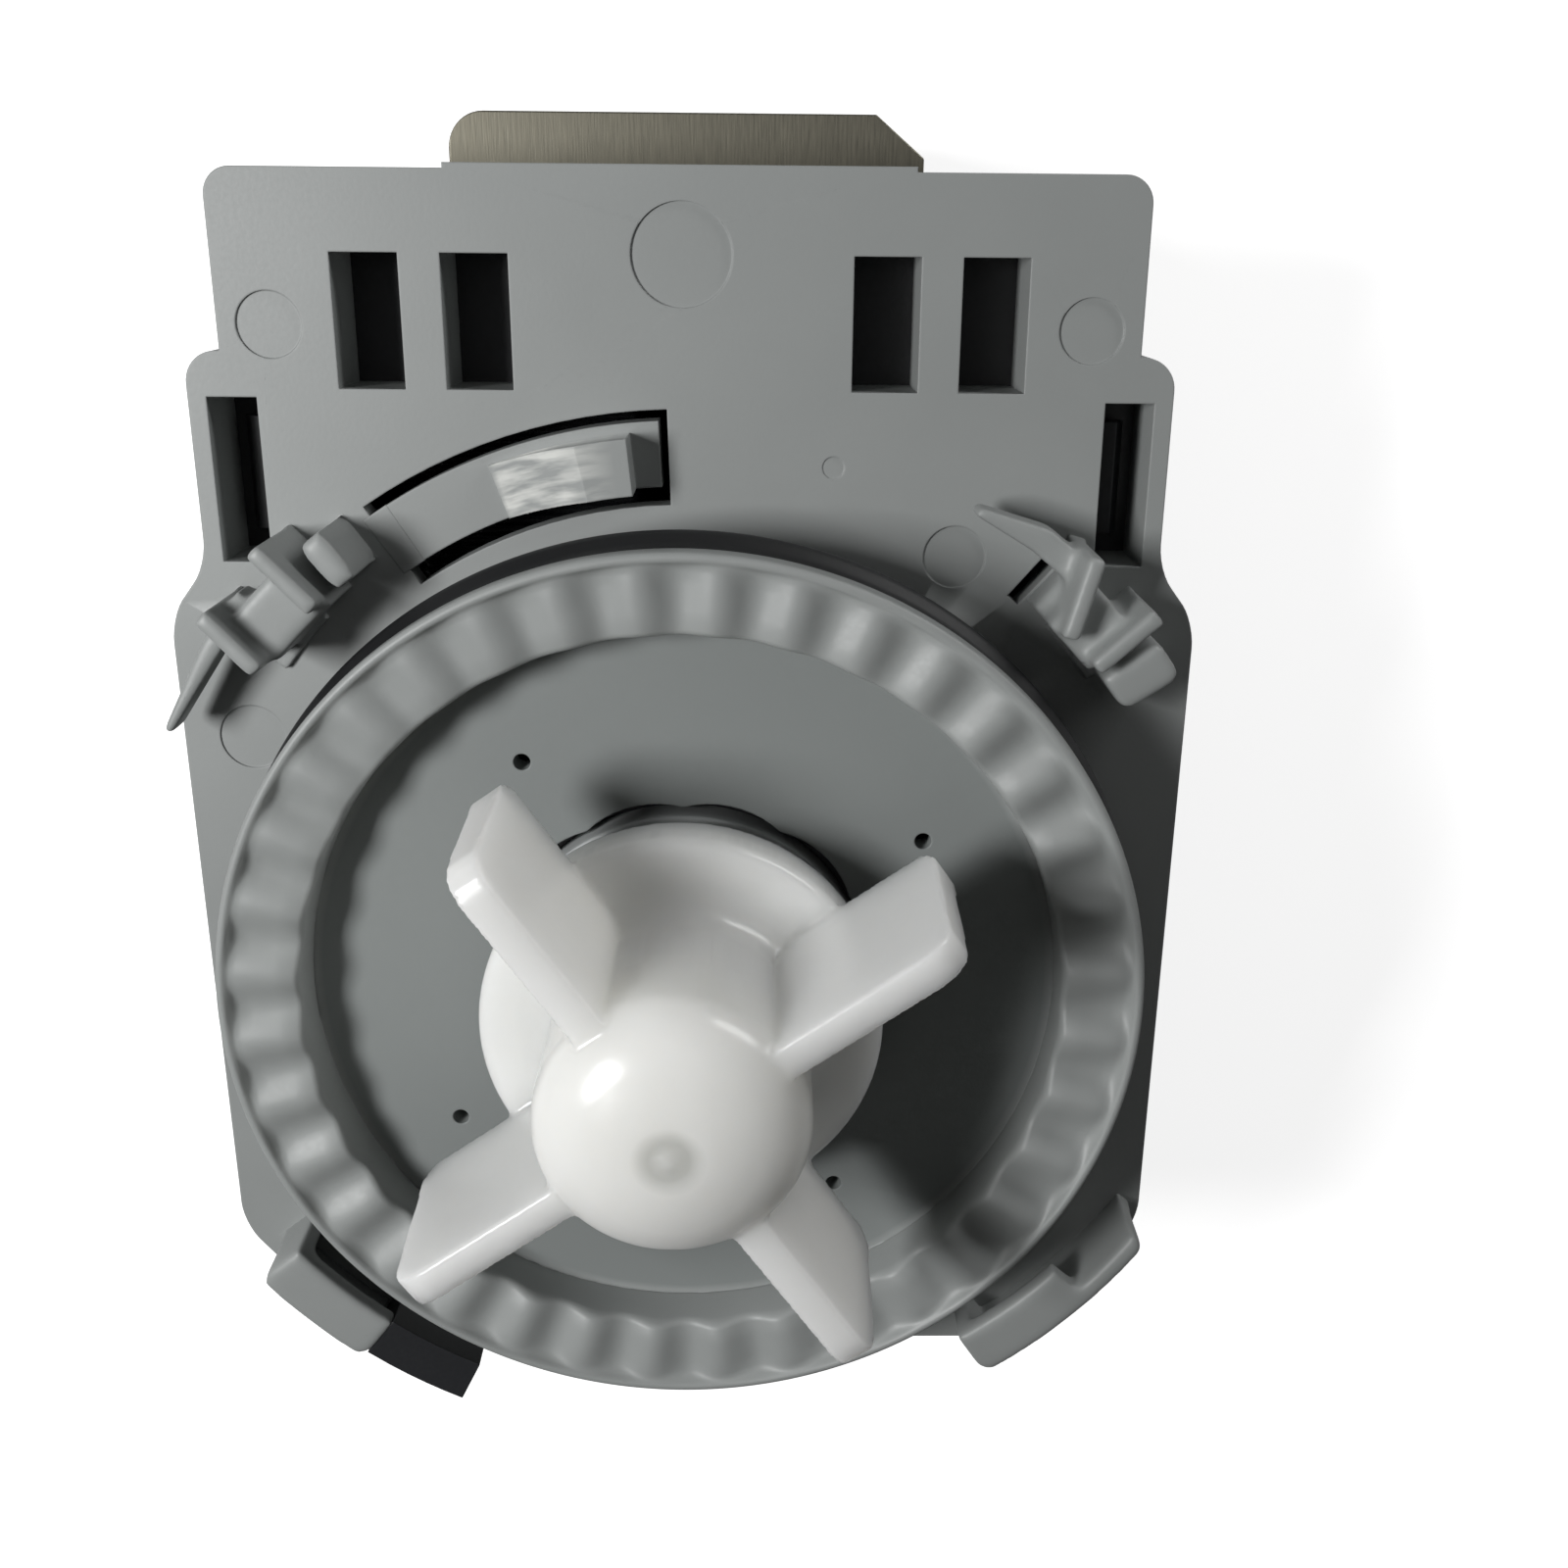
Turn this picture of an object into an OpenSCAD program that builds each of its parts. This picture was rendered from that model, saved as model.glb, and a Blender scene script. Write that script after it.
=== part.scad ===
// Dishwasher drain pump: a grey moulded plate with a bayonet spigot, a white
// four-blade impeller, and a single-phase motor with a wet rotor behind it.
// The rotor axis is the Z axis. The pump lies on the back of its motor cover
// at Z = 0, and +Y points to the steel yoke that shows above the plate.

/* [Mounting plate] */
// Height of the plate's front face above the back of the motor cover
face_z = 43.5; // [42.5:0.5:48]
// Wall of the plate
plate_t = 2.6; // [2:0.1:3.2]
// Depth of the skirt and of the window frames, from the front face
skirt_depth = 7; // [6:0.5:7]
// Wall of the skirt and of the window frames
skirt_t = 1.6; // [1.2:0.1:2]
// Distance from the rotor axis to the plate's top edge
plate_top = 65; // [63.5:0.5:67]
// Width of the plate at the top
plate_top_w = 73.4; // [72:0.2:76]
// Width across the two ears that hold the side windows
ear_w = 79.2; // [79:0.2:84]
// Top edge of the ears above the rotor axis
ear_top = 51.3; // [50.4:0.1:52.6]
// Width of the round lower half
body_w = 86; // [84:0.5:90]
// Radius of the round lower half
flange_r = 52.2; // [51.4:0.2:53]
// Distance from the rotor axis down to the flat bottom edge
bottom_y = 43; // [41:0.5:43.5]

/* [Windows] */
// Bottom edge of the four tall windows above the rotor axis
window_y = 48.4; // [48:0.1:49.5]
// Height of the tall windows
window_h = 10.4; // [8:0.1:11]
// Width of the tall windows
window_w = 5.3; // [4.5:0.1:5.6]
// Distance from the middle to the centre of an inner window
window_inner_x = 16.2; // [15.5:0.1:16.8]
// Distance from the middle to the centre of an outer window
window_outer_x = 24.8; // [24.6:0.1:26]
// Bottom edge of the side windows that take the cover's hooks
hook_window_y = 34.4; // [34:0.1:36]
// Height of the side windows
hook_window_h = 13.3; // [12.5:0.1:13.5]
// Width of the side windows
hook_window_w = 4; // [3.8:0.1:4.4]
// Distance from the middle to the centre of a side window
hook_window_x = 36.1; // [36:0.1:36.8]

/* [Spigot] */
// Outside diameter of the spigot's front lip
spigot_d = 76; // [75.4:0.1:76.6]
// Height of the spigot above the plate
spigot_h = 13.9; // [13:0.1:15]
// Height of the front lip
lip_h = 2.3; // [1.8:0.1:3]
// Diameter of the seat under the seal
seal_seat_d = 72.4; // [71.6:0.1:73]
// How far the seal's lip stands out from its seat
seal_lip_w = 2.4; // [2.2:0.1:2.8]
// Diameter of the well that holds the impeller
well_d = 62.8; // [60:0.2:64]
// Height of the well's floor above the plate
well_floor_z = 8.4; // [8:0.1:9]
// Thickness of the well's floor
floor_t = 2.4; // [2:0.1:2.6]
// Radius of the circle that the four drain holes lie on
drain_hole_r = 23.7; // [22:0.1:26]
// Diameter of a drain hole
drain_hole_d = 1.4; // [1:0.1:2]
// Direction of the first drain hole
drain_hole_angle = 33.3; // [30:0.1:40]
// Radius of the floor opening over its lobes
lobe_r = 16.5; // [16.3:0.1:17]
// Number of lobes round the floor opening
lobe_count = 12; // [8:1:16]

/* [Bayonet lugs] */
// Inner radius of the lugs' webs
lug_r_in = 45.5; // [45:0.1:46]
// Outer radius of the lugs
lug_r_out = 50.5; // [50:0.1:50.8]
// Height of the lugs above the plate
lug_h = 7; // [6:0.1:8]
// Thickness of the lugs' webs
lug_web_t = 2; // [1.6:0.1:3]
// Inner radius of the clip blocks
clip_r_in = 42.6; // [42.2:0.1:43]
// Outer radius of the clip blocks
clip_r_out = 47.5; // [47:0.1:48]
// Height of the clip's ribs above the plate
rib_h = 9.5; // [8:0.1:11]
// Thickness of the clip's ribs
rib_t = 1.5; // [1.2:0.1:1.7]

/* [Latch arm] */
// Radius of the arm's outer edge
arm_r_out = 46.1; // [45.6:0.1:46.3]
// Width of the arm
arm_w = 5.3; // [4.9:0.1:5.5]
// Direction of the arm's root, counted from +X
arm_root_angle = 124; // [123:0.5:125]
// Direction of the arm's free end
arm_end_angle = 92.5; // [92:0.5:94.5]
// Gap between the arm and the plate along its outer edge
arm_gap = 0.9; // [0.8:0.1:1.1]
// Height of the snap tooth on the arm
tooth_h = 4; // [3:0.1:5]

/* [Impeller] */
// Diameter of the impeller's disc
disc_d = 32.6; // [31.4:0.2:33]
// Front face of the disc above the plate
disc_z = 17; // [16.6:0.1:18]
// Thickness of the disc
disc_t = 4.4; // [4:0.1:4.8]
// Diameter of the hub and its round nose
hub_d = 20.4; // [19.8:0.1:21]
// Height of the nose's tip above the plate
nose_z = 36.4; // [36:0.1:38]
// Height of the nose's flattened dome
nose_h = 5.8; // [5.4:0.1:6.4]
// Diameter over the blade tips
blade_d = 50; // [46:0.5:56]
// Front edge of the blades above the plate
blade_z = 32.8; // [30:0.1:33.2]
// Thickness of a blade at the disc
blade_t_root = 3; // [2.7:0.1:3.4]
// Thickness of a blade at its front edge
blade_t_edge = 2.6; // [2.2:0.1:2.7]
// Number of blades
blade_count = 4; // [3:1:6]
// Direction of the first blade
blade_angle = 35.1; // [30:0.1:40]
// Diameter of the hollow in the hub
hub_hollow_d = 15.2; // [14.8:0.1:15.4]

/* [Rotor] */
// Diameter of the shaft
shaft_d = 4; // [3.6:0.1:4.2]
// Diameter of the magnet
magnet_d = 23; // [21:0.1:23.2]
// Length of the magnet
magnet_l = 20; // [18:0.5:20]
// Outside diameter of the rotor can
can_d = 26.4; // [26.2:0.1:26.6]
// Wall of the rotor can
can_t = 1.1; // [0.8:0.1:1.2]
// Angle that the drive dog spans
dog_angle = 40; // [20:1:50]
// Angle that each rubber pad on the dog spans
pad_angle = 6; // [4:1:8]
// Angle that the stop in the hub spans
stop_angle = 40; // [20:1:50]

/* [Motor] */
// Thickness of the lamination stack
stack_t = 20; // [18:0.5:20.5]
// Width of the core over its two legs
core_w = 40; // [39:0.2:41]
// Width of one leg
leg_w = 12; // [11:0.2:12.6]
// Distance from the rotor axis to the top of the yoke
yoke_top = 69.9; // [69:0.1:71]
// Height of the yoke
yoke_h = 15.9; // [14:0.1:16]
// Diameter of the bore for the rotor between the legs
pole_bore_d = 28; // [27:0.1:29]
// How far a coil's build rises over the leg
coil_build = 4; // [3.4:0.1:4]
// Width of a spade terminal
terminal_w = 6.3; // [4.8:0.1:6.3]
// Thickness of a spade terminal
terminal_t = 0.8; // [0.5:0.1:1]

/* [Motor cover] */
// Wall of the motor cover
cover_t = 2; // [1.6:0.1:2]
// Diameter of the cover screws' shanks
screw_d = 3; // [2.5:0.1:3.2]

/* [Hidden] */
$fn = 96;

// Small amount by which a cut runs past the surface that it opens
over = 0.5;
// Gap between pieces that turn past each other
run_gap = 0.3;
// Radial clearance of the shaft in what turns on it
shaft_gap = 0.04;
shaft_r = shaft_d / 2;

// Levels along the axis, counted from the plate's front face
cavity_top_z = well_floor_z - floor_t;
disc_back_z = disc_z - disc_t;
hub_r = hub_d / 2;
nose_centre_z = nose_z - nose_h;
solid_nose_h = 5.9;
hollow_top_z = nose_centre_z - solid_nose_h;
plug_t = 1.8;
hollow_z = disc_back_z + plug_t;
shaft_tip_z = hollow_top_z + 2.6;
shaft_socket_z = shaft_tip_z + 0.5;

// Rotor stack, from the front bearing to the back of the can
can_r = can_d / 2;
can_bore_r = can_r - can_t;
front_bearing_top_z = 2;
front_bearing_l = 9;
front_bearing_z = front_bearing_top_z - front_bearing_l;
washer_t = 0.7;
carrier_top_z = front_bearing_z - run_gap - washer_t;
stack_drop = 6;
stack_top_z = -(skirt_depth + stack_drop);
stack_bottom_z = stack_top_z - stack_t;
stack_mid_z = (stack_top_z + stack_bottom_z) / 2;
magnet_z = stack_mid_z - magnet_l / 2;
carrier_z = magnet_z - 0.8;
rear_bearing_top_z = carrier_z - washer_t - run_gap;
rear_bearing_l = 4.6;
rear_bearing_z = rear_bearing_top_z - rear_bearing_l;
can_inside_z = rear_bearing_z - 0.5;
can_z = can_inside_z - 1.2;
cover_z = -face_z;
cover_inside_z = cover_z + cover_t;
bearing_r = 4.2;
cushion_t = 1.6;
holder_bore_r = bearing_r + cushion_t;
carrier_r = 4;
holder_plug_r = can_bore_r - 0.1;
holder_z = front_bearing_z + 1;
collar_r = lobe_r - 1;
collar_top_z = well_floor_z + 1;
can_flange_w = 4.5;
can_flange_r = lobe_r + can_flange_w;
can_flange_t = 2.4;
can_flange_z = cavity_top_z - can_flange_t;
o_ring_r = 0.8;
o_ring_centre_r = can_bore_r - o_ring_r;
o_ring_z = -1.6;

// Drive dog and the stop in the impeller's hub
hollow_r = hub_hollow_d / 2;
dog_hub_r = shaft_r + 1.6;
dog_r = hollow_r - 0.6;
stop_r_in = dog_hub_r + 0.4;
dog_z = hollow_z + run_gap;
dog_top_z = hollow_top_z - run_gap;
dog_direction = -90;
stop_direction = dog_direction + 180;

// Spigot
lip_r = spigot_d / 2;
seal_seat_r = seal_seat_d / 2;
seal_lip_r = seal_seat_r + seal_lip_w;
well_r = well_d / 2;
lip_z = spigot_h - lip_h;
lip_chamfer = 0.5;
spigot_wall = 1.6;
cavity_r = seal_seat_r - spigot_wall;
flute_count = 36;
flute_r = 4;
flute_depth = 0.45;
flute_phase = 10;

// Plate
plate_top_half = plate_top_w / 2;
ear_half = ear_w / 2;
body_half = body_w / 2;
corner_r = 2.2;
ear_corner_r = 2.6;
ear_low = 24;
plate_low = 20;
ridge_w = 36.6;
ridge_h = 0.4;
window_tops = window_y + window_h;
post_w = 4;
post_d = 3;
post_y = window_tops + skirt_t;

// Latch arm
arm_r_in = arm_r_out - arm_w;
arm_mid_r = (arm_r_out + arm_r_in) / 2;
arm_slot_end = arm_end_angle - 0.9;
arm_gap_in = arm_gap + 0.6;
knuckle_r = plate_t / 2 - 0.2;
knuckle_gap = 0.08;
root_gap = 0.5;
arm_body_end = arm_root_angle - root_gap / arm_mid_r * 180 / PI;
tooth_low_angle = arm_end_angle + 18;
tooth_high_angle = arm_end_angle + 3;

// Bayonet lugs, as angles within each quarter turn
lug_start = 33.5;
lug_end = 48;
lug_wall = 1.8;
entry_end = 57;
rib_r_in = clip_r_in + 0.6;
rib_r_out = lug_r_out - 0.9;
ledge_w = 0.5;
ledge_h = 0.6;
left_clip_turn = 91;
lower_left_turn = 184.5;
lower_right_turn = 270;
hook_start = 233;
hook_end = 244;
hook_gap = 0.3;
hook_r_out = lug_r_out - 0.7;

// Motor
cover_drop = 0.4;
core_half = core_w / 2;
leg_x = core_half - leg_w / 2;
yoke_low = yoke_top - yoke_h;
leg_bottom = 15.5;
post_x = leg_x / 2;
yoke_round = 3;
yoke_chamfer_x = 4.1;
yoke_chamfer_y = 3.4;
bobbin_wall = 1;
bobbin_gap = 0.2;
bobbin_low = 18.5;
bobbin_top = yoke_low - cover_drop - cover_t - bobbin_gap;
flange_t = 1.2;
bobbin_core_w = leg_w + 2 * (bobbin_gap + bobbin_wall);
bobbin_core_t = stack_t + 2 * (bobbin_gap + bobbin_wall);
tape_t = 0.4;
coil_rise = coil_build - bobbin_wall - bobbin_gap - tape_t;
coil_low = bobbin_low + flange_t;
coil_top = bobbin_top - flange_t;
bobbin_flange_w = leg_w + 2 * coil_build + 1.6;
bobbin_flange_t = stack_t + 2 * coil_build + 1.2;
rivet_r = 1.75;
rivet_head_r = 3;
rivet_head_h = 0.7;
rivet_y = yoke_top - 8.4;
terminal_l = 13.8;
terminal_gap = 9;
block_x = leg_x + bobbin_flange_w / 2;
block_w = 4.8;
block_h = 8;
block_t = 18;
block_top = coil_top;
terminal_x = block_x + block_w / 2;
protector_size = [3.6, 15, 8];

// Motor cover
block_gap = 0.4;
cover_half = block_x + block_w + block_gap + cover_t;
pad_size = [6, 8];
pad_x = 16.5;
pad_y = -9;
cover_top = yoke_low - cover_drop;
cover_corner_r = 4;
cover_rim_z = -skirt_depth;
tongue_w = 9.4;
tongue_t = 1.5;
tongue_x = hook_window_x - hook_window_w / 2 + 0.6;
tongue_y = hook_window_y + (hook_window_h - tongue_w) / 2;
tongue_top_z = cover_rim_z + 2.4;
barb = 0.8;
apron_t = 1.2;
screw_circle_r = 40.8;
screw_angle = -24;
boss_r = 3.4;
boss_z = cover_rim_z;
ear_plate_t = 2.4;
ear_r = boss_r;
ear_bar_w = 2 * ear_r - 0.8;
screw_reach = 4;
screw_head_r = 2.9;
screw_head_h = 2;
pilot_r = screw_d / 2 - 0.1;

// Moves what follows from the plate's face level to its place above the floor
module at_face(z = 0) {
    translate([0, 0, face_z + z]) children();
}

// A point at a radius and a direction
function polar(r, a) = [r * cos(a), r * sin(a)];

// A cylinder between two levels
module disc(r, z0, z1) {
    translate([0, 0, z0]) cylinder(r = r, h = z1 - z0);
}

// A tube between two levels
module tube(r_out, r_in, z0, z1) {
    difference() {
        disc(r_out, z0, z1);
        disc(r_in, z0 - over, z1 + over);
    }
}

// A flat outline raised between two levels
module slab(z0, z1) {
    translate([0, 0, z0]) linear_extrude(z1 - z0) children();
}

// A piece of a flat ring between two directions less than half a turn apart
module sector(r_in, r_out, a0, a1) {
    reach = 2 * r_out;
    intersection() {
        difference() {
            circle(r = r_out);
            circle(r = r_in);
        }
        polygon([[0, 0], polar(reach, a0), polar(reach, (a0 + a1) / 2), polar(reach, a1)]);
    }
}

// A rectangle with four round corners
module round_rect(x0, y0, x1, y1, r) {
    translate([x0 + r, y0]) square([x1 - x0 - 2 * r, y1 - y0]);
    translate([x0, y0 + r]) square([x1 - x0, y1 - y0 - 2 * r]);
    for (x = [x0 + r, x1 - r], y = [y0 + r, y1 - r]) {
        translate([x, y]) circle(r = r);
    }
}

// A flat bar with square ends between two points
module bar(p, q, w) {
    run = q - p;
    translate(p) rotate(atan2(run[1], run[0])) translate([0, -w / 2]) square([norm(run), w]);
}

// Moves to the cover screw on the right side
module at_screw() {
    translate(polar(screw_circle_r, screw_angle)) children();
}

// Draws its children on the right and mirrored on the left
module both_sides() {
    children();
    mirror([1, 0, 0]) children();
}

// The plate's outline, drawn in by a distance
module plate_outline(d) {
    round_rect(d - plate_top_half, plate_low, plate_top_half - d, plate_top - d, corner_r);
    round_rect(d - ear_half, ear_low, ear_half - d, ear_top - d, ear_corner_r);
    translate([d - ridge_w / 2, plate_low]) square([ridge_w - 2 * d, plate_top + ridge_h - d - plate_low]);
    intersection() {
        circle(r = flange_r - d);
        translate([d - body_half, d - bottom_y]) square([2 * (body_half - d), flange_r + bottom_y]);
    }
}

// The six windows, grown by a distance
module windows(d) {
    both_sides() {
        for (x = [window_inner_x, window_outer_x]) {
            translate([x - window_w / 2 - d, window_y - d]) square([window_w + 2 * d, window_h + 2 * d]);
        }
        translate([hook_window_x - hook_window_w / 2 - d, hook_window_y - d])
            square([hook_window_w + 2 * d, hook_window_h + 2 * d]);
    }
}

// The arm's outline from its root to its free end
module arm_outline() {
    sector(arm_r_in, arm_r_out, arm_end_angle, arm_body_end);
}

// The slot in the plate round the arm
module arm_slot() {
    sector(arm_r_in - arm_gap_in, arm_r_out + arm_gap, arm_slot_end, arm_root_angle);
}

// The round root of the arm, and with a gap the socket that holds it
module arm_knuckle(gap) {
    translate([0, 0, -plate_t / 2]) rotate([0, 90, arm_root_angle])
        translate([0, 0, arm_r_in - gap]) cylinder(r = knuckle_r + gap, h = arm_w + 2 * gap);
}

// The floor's central opening: large circles set round the axis leave shallow lobes
module lobed_opening() {
    big_r = lobe_r / 2;
    for (i = [0:lobe_count - 1]) {
        rotate((i + 0.5) * 360 / lobe_count) translate([lobe_r - big_r, 0]) circle(r = big_r);
    }
}

// One of the two upper clips: a block with two ribs, a low end block and a pointed finger
module upper_clip(end_start, end_r_out, ledge_start, block_end, rib_in_angle, finger_r_in, tip_r, tip_angle) {
    foot_end = lug_end - 0.2;
    end_block_end = lug_start + 4.6;
    finger_base = lug_end - 2;
    finger_root = lug_end + 4.5;
    slab(-over, lug_h) sector(clip_r_in, clip_r_out, lug_start + 6, block_end);
    slab(-over, lug_h / 2) sector(clip_r_in, clip_r_out - 1.5, block_end - 1, foot_end);
    slab(-over, ledge_h) sector(clip_r_in - ledge_w, clip_r_in + 1, ledge_start, ledge_start + 8);
    slab(-over, lug_h + 0.5) sector(clip_r_in + 0.5, end_r_out, end_start, end_block_end);
    slab(-over, rib_h) bar(polar(rib_r_in, 40.3), polar(rib_r_out, 40.6), rib_t);
    slab(-over, rib_h) bar(polar(rib_r_in, rib_in_angle), polar(rib_r_out - 0.4, 48.6), rib_t);
    slab(2, 5.4) polygon([
        polar(finger_r_in, finger_base),
        polar(finger_r_in - 0.1, finger_root),
        polar(tip_r - 0.5, tip_angle),
        polar(tip_r + 0.3, tip_angle),
        polar(clip_r_out + 0.9, finger_root),
        polar(clip_r_out + 1.1, finger_base)
    ]);
}

// One of the two lower lugs: a web on an outer wall, open towards the axis
module lower_lug(wall_end) {
    slab(-over, lug_h) sector(lug_r_out - lug_wall, lug_r_out, lug_start, wall_end);
    slab(lug_h - lug_web_t, lug_h) sector(lug_r_in, lug_r_out, lug_start, lug_end);
    slab(-over, lug_h) sector(lug_r_in, lug_r_out, lug_start, lug_start + 2);
}

module plate_solids() {
    slab(-plate_t, 0) plate_outline(0);
    slab(-skirt_depth, -plate_t + over) difference() {
        plate_outline(0);
        plate_outline(skirt_t);
    }
    slab(-skirt_depth, -plate_t + over) intersection() {
        windows(skirt_t);
        plate_outline(0);
    }
    disc(seal_seat_r, -skirt_depth, spigot_h - 0.1);
    disc(lip_r, lip_z, spigot_h - lip_chamfer);
    translate([0, 0, spigot_h - lip_chamfer]) cylinder(r1 = lip_r, r2 = lip_r - lip_chamfer, h = lip_chamfer);
    upper_clip(lug_start, clip_r_out + 1, lug_start + 2.5, lug_end - 1.5, lug_end - 3.4,
               clip_r_out - 1.3, clip_r_out - 1.2, 59.5);
    rotate(left_clip_turn)
        upper_clip(lug_start + 1.6, clip_r_out, lug_end - 4, lug_end + 0.6, lug_end + 1.6,
                   clip_r_out - 0.7, clip_r_out + 0.1, 62.6);
    rotate(lower_left_turn) lower_lug(lug_end);
    rotate(lower_right_turn) lower_lug(entry_end);
    both_sides() {
        at_screw() disc(boss_r, boss_z, -plate_t + over);
        slab(stack_top_z, -plate_t + over) translate([post_x - post_w / 2, post_y]) square([post_w, post_d]);
    }
}

module mounting_plate() {
    color("#8f9090") at_face() difference() {
        plate_solids();
        slab(-skirt_depth - over, over) windows(0);
        slab(-plate_t - over, over) arm_slot();
        arm_knuckle(knuckle_gap);
        disc(well_r, well_floor_z, spigot_h + over);
        disc(cavity_r, -skirt_depth - over, cavity_top_z);
        tube(cavity_r, well_r + spigot_wall, cavity_top_z - over, lip_z);
        slab(cavity_top_z - over, well_floor_z + over) lobed_opening();
        for (i = [0:3]) {
            rotate(drain_hole_angle + 90 * i) translate([drain_hole_r, 0, 0])
                disc(drain_hole_d / 2, cavity_top_z - over, well_floor_z + over);
        }
        for (i = [0:flute_count - 1]) {
            rotate(flute_phase + i * 360 / flute_count)
                translate([0, 0, spigot_h + flute_r - flute_depth]) rotate([0, 90, 0])
                translate([0, 0, well_r - 2]) cylinder(r = flute_r, h = lip_r - well_r);
        }
        slab(-skirt_depth - over, over)
            sector(lug_r_in - hook_gap, flange_r + over, hook_start - hook_gap, hook_end + hook_gap);
        slab(-plate_t - over, over) sector(clip_r_in - 0.8, clip_r_out - 1.5, lug_end + 0.1, lug_end + 1.7);
        both_sides() at_screw() disc(pilot_r, boss_z - over, -plate_t);
    }
}

module latch_arm() {
    tooth_step = 0.8;
    tooth_angle = (tooth_low_angle + tooth_high_angle) / 2;
    tooth_half = arm_mid_r * tan((tooth_low_angle - tooth_high_angle) / 2);
    color("#8b8d8d") at_face() {
        slab(-plate_t, 0) arm_outline();
        arm_knuckle(0);
        intersection() {
            slab(-over, tooth_h) sector(arm_r_in, arm_r_out - tooth_step, tooth_high_angle, tooth_low_angle);
            rotate(tooth_angle) translate([arm_r_in - over, 0, 0]) rotate([90, 0, 90])
                linear_extrude(arm_w + 2 * over) polygon([
                    [-2 * tooth_half, -over],
                    [tooth_half + over, -over],
                    [tooth_half + over, 0.2],
                    [-tooth_half * 0.3, tooth_h],
                    [-2 * tooth_half, tooth_h]
                ]);
        }
    }
}

module spigot_seal() {
    lip_low = lip_z - 6;
    color("#1c1d1e") at_face() rotate_extrude() polygon([
        [seal_seat_r, 0.2],
        [seal_seat_r + 1, 0.2],
        [seal_seat_r + 1.1, lip_low],
        [seal_lip_r, lip_low + 1.6],
        [seal_lip_r, lip_low + 2.4],
        [seal_seat_r + 1.3, lip_z - 0.2],
        [seal_seat_r, lip_z - 0.2]
    ]);
}

// One blade: a tapered plate across the axis, cut back at its tip
module blade() {
    tip_r = blade_d / 2;
    root_r = hub_r - 2;
    low_z = disc_z - 0.6;
    lean = 0.4;
    difference() {
        rotate([90, 0, 90]) translate([0, 0, root_r]) linear_extrude(tip_r - root_r) polygon([
            [-blade_t_root / 2, low_z],
            [blade_t_root / 2, low_z],
            [blade_t_edge / 2, blade_z],
            [-blade_t_edge / 2, blade_z]
        ]);
        rotate([90, 0, 0]) translate([0, 0, -blade_t_root]) linear_extrude(2 * blade_t_root) polygon([
            [tip_r - 1.6, low_z - over],
            [tip_r - 0.6, low_z + 0.5],
            [tip_r, low_z + 1.7],
            [tip_r - lean, blade_z - 2.4],
            [tip_r - lean - 0.4, blade_z - 1.2],
            [tip_r - lean - 1.2, blade_z - 0.4],
            [tip_r - lean - 2.4, blade_z],
            [tip_r - lean - 2.4, blade_z + over],
            [tip_r + over, blade_z + over],
            [tip_r + over, low_z - over]
        ]);
    }
}

// The hub's outline beside the axis, with a hollow root that runs out on the disc
module hub_profile() {
    root_r = 3;
    disc_r = disc_d / 2;
    edge_r = 1;
    translate([0, disc_z - over]) square([hub_r, nose_centre_z - disc_z + over]);
    intersection() {
        translate([0, nose_centre_z]) scale([1, nose_h / hub_r]) circle(r = hub_r);
        translate([0, nose_centre_z]) square(hub_r);
    }
    difference() {
        translate([0, disc_z - over]) square([hub_r + root_r, root_r + over]);
        translate([hub_r + root_r, disc_z + root_r]) circle(r = root_r);
    }
    translate([0, disc_back_z]) square([disc_r, disc_t - edge_r]);
    translate([0, disc_back_z]) square([disc_r - edge_r, disc_t]);
    intersection() {
        translate([disc_r - edge_r, disc_z - edge_r]) circle(r = edge_r);
        translate([disc_r - edge_r, disc_z - edge_r]) square(edge_r);
    }
}

module impeller() {
    gate_r = 2.2;
    color("#e4e3e0") at_face() difference() {
        union() {
            rotate_extrude() hub_profile();
            for (i = [0:blade_count - 1]) {
                rotate(blade_angle + i * 360 / blade_count) blade();
            }
        }
        difference() {
            disc(hollow_r, disc_back_z - over, hollow_top_z);
            slab(hollow_z + 0.2, hollow_top_z + over) rotate(stop_direction)
                sector(stop_r_in, hollow_r + over, -stop_angle / 2, stop_angle / 2);
        }
        disc(shaft_r + shaft_gap, hollow_top_z - over, shaft_socket_z);
        tube(gate_r, gate_r - 1, nose_z - 0.6, nose_z + over);
    }
}

module impeller_hub_plug() {
    color("#dddcd8") at_face() tube(hollow_r, shaft_r + shaft_gap, disc_back_z, hollow_z);
}

module rotor_shaft() {
    color("#c3c6c8") at_face() disc(shaft_r, rear_bearing_z + 0.2, shaft_tip_z);
}

module drive_dog() {
    color("#d8d2bc") at_face() difference() {
        union() {
            disc(dog_hub_r, dog_z, dog_top_z);
            slab(dog_z, dog_top_z)
                sector(shaft_r + 0.5, dog_r, dog_direction - dog_angle / 2, dog_direction + dog_angle / 2);
        }
        disc(shaft_r, dog_z - over, dog_top_z + over);
    }
}

module dog_pads() {
    edge = dog_direction - dog_angle / 2;
    color("#2a2a2a") at_face() slab(dog_z + 1, dog_top_z - 1) {
        sector(dog_hub_r, dog_r, edge - pad_angle, edge);
        sector(dog_hub_r, dog_r, edge + dog_angle, edge + dog_angle + pad_angle);
    }
}

module rotor_magnet() {
    color("#3b3c40") at_face() tube(magnet_d / 2, carrier_r, magnet_z, magnet_z + magnet_l);
}

module magnet_carrier() {
    color("#b9b6a8") at_face() {
        tube(carrier_r, shaft_r, carrier_z, carrier_top_z);
        tube(magnet_d / 2 - 2, shaft_r + 1, carrier_z, magnet_z);
        tube(magnet_d / 2 - 2, shaft_r + 1, magnet_z + magnet_l, magnet_z + magnet_l + 0.8);
    }
}

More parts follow.
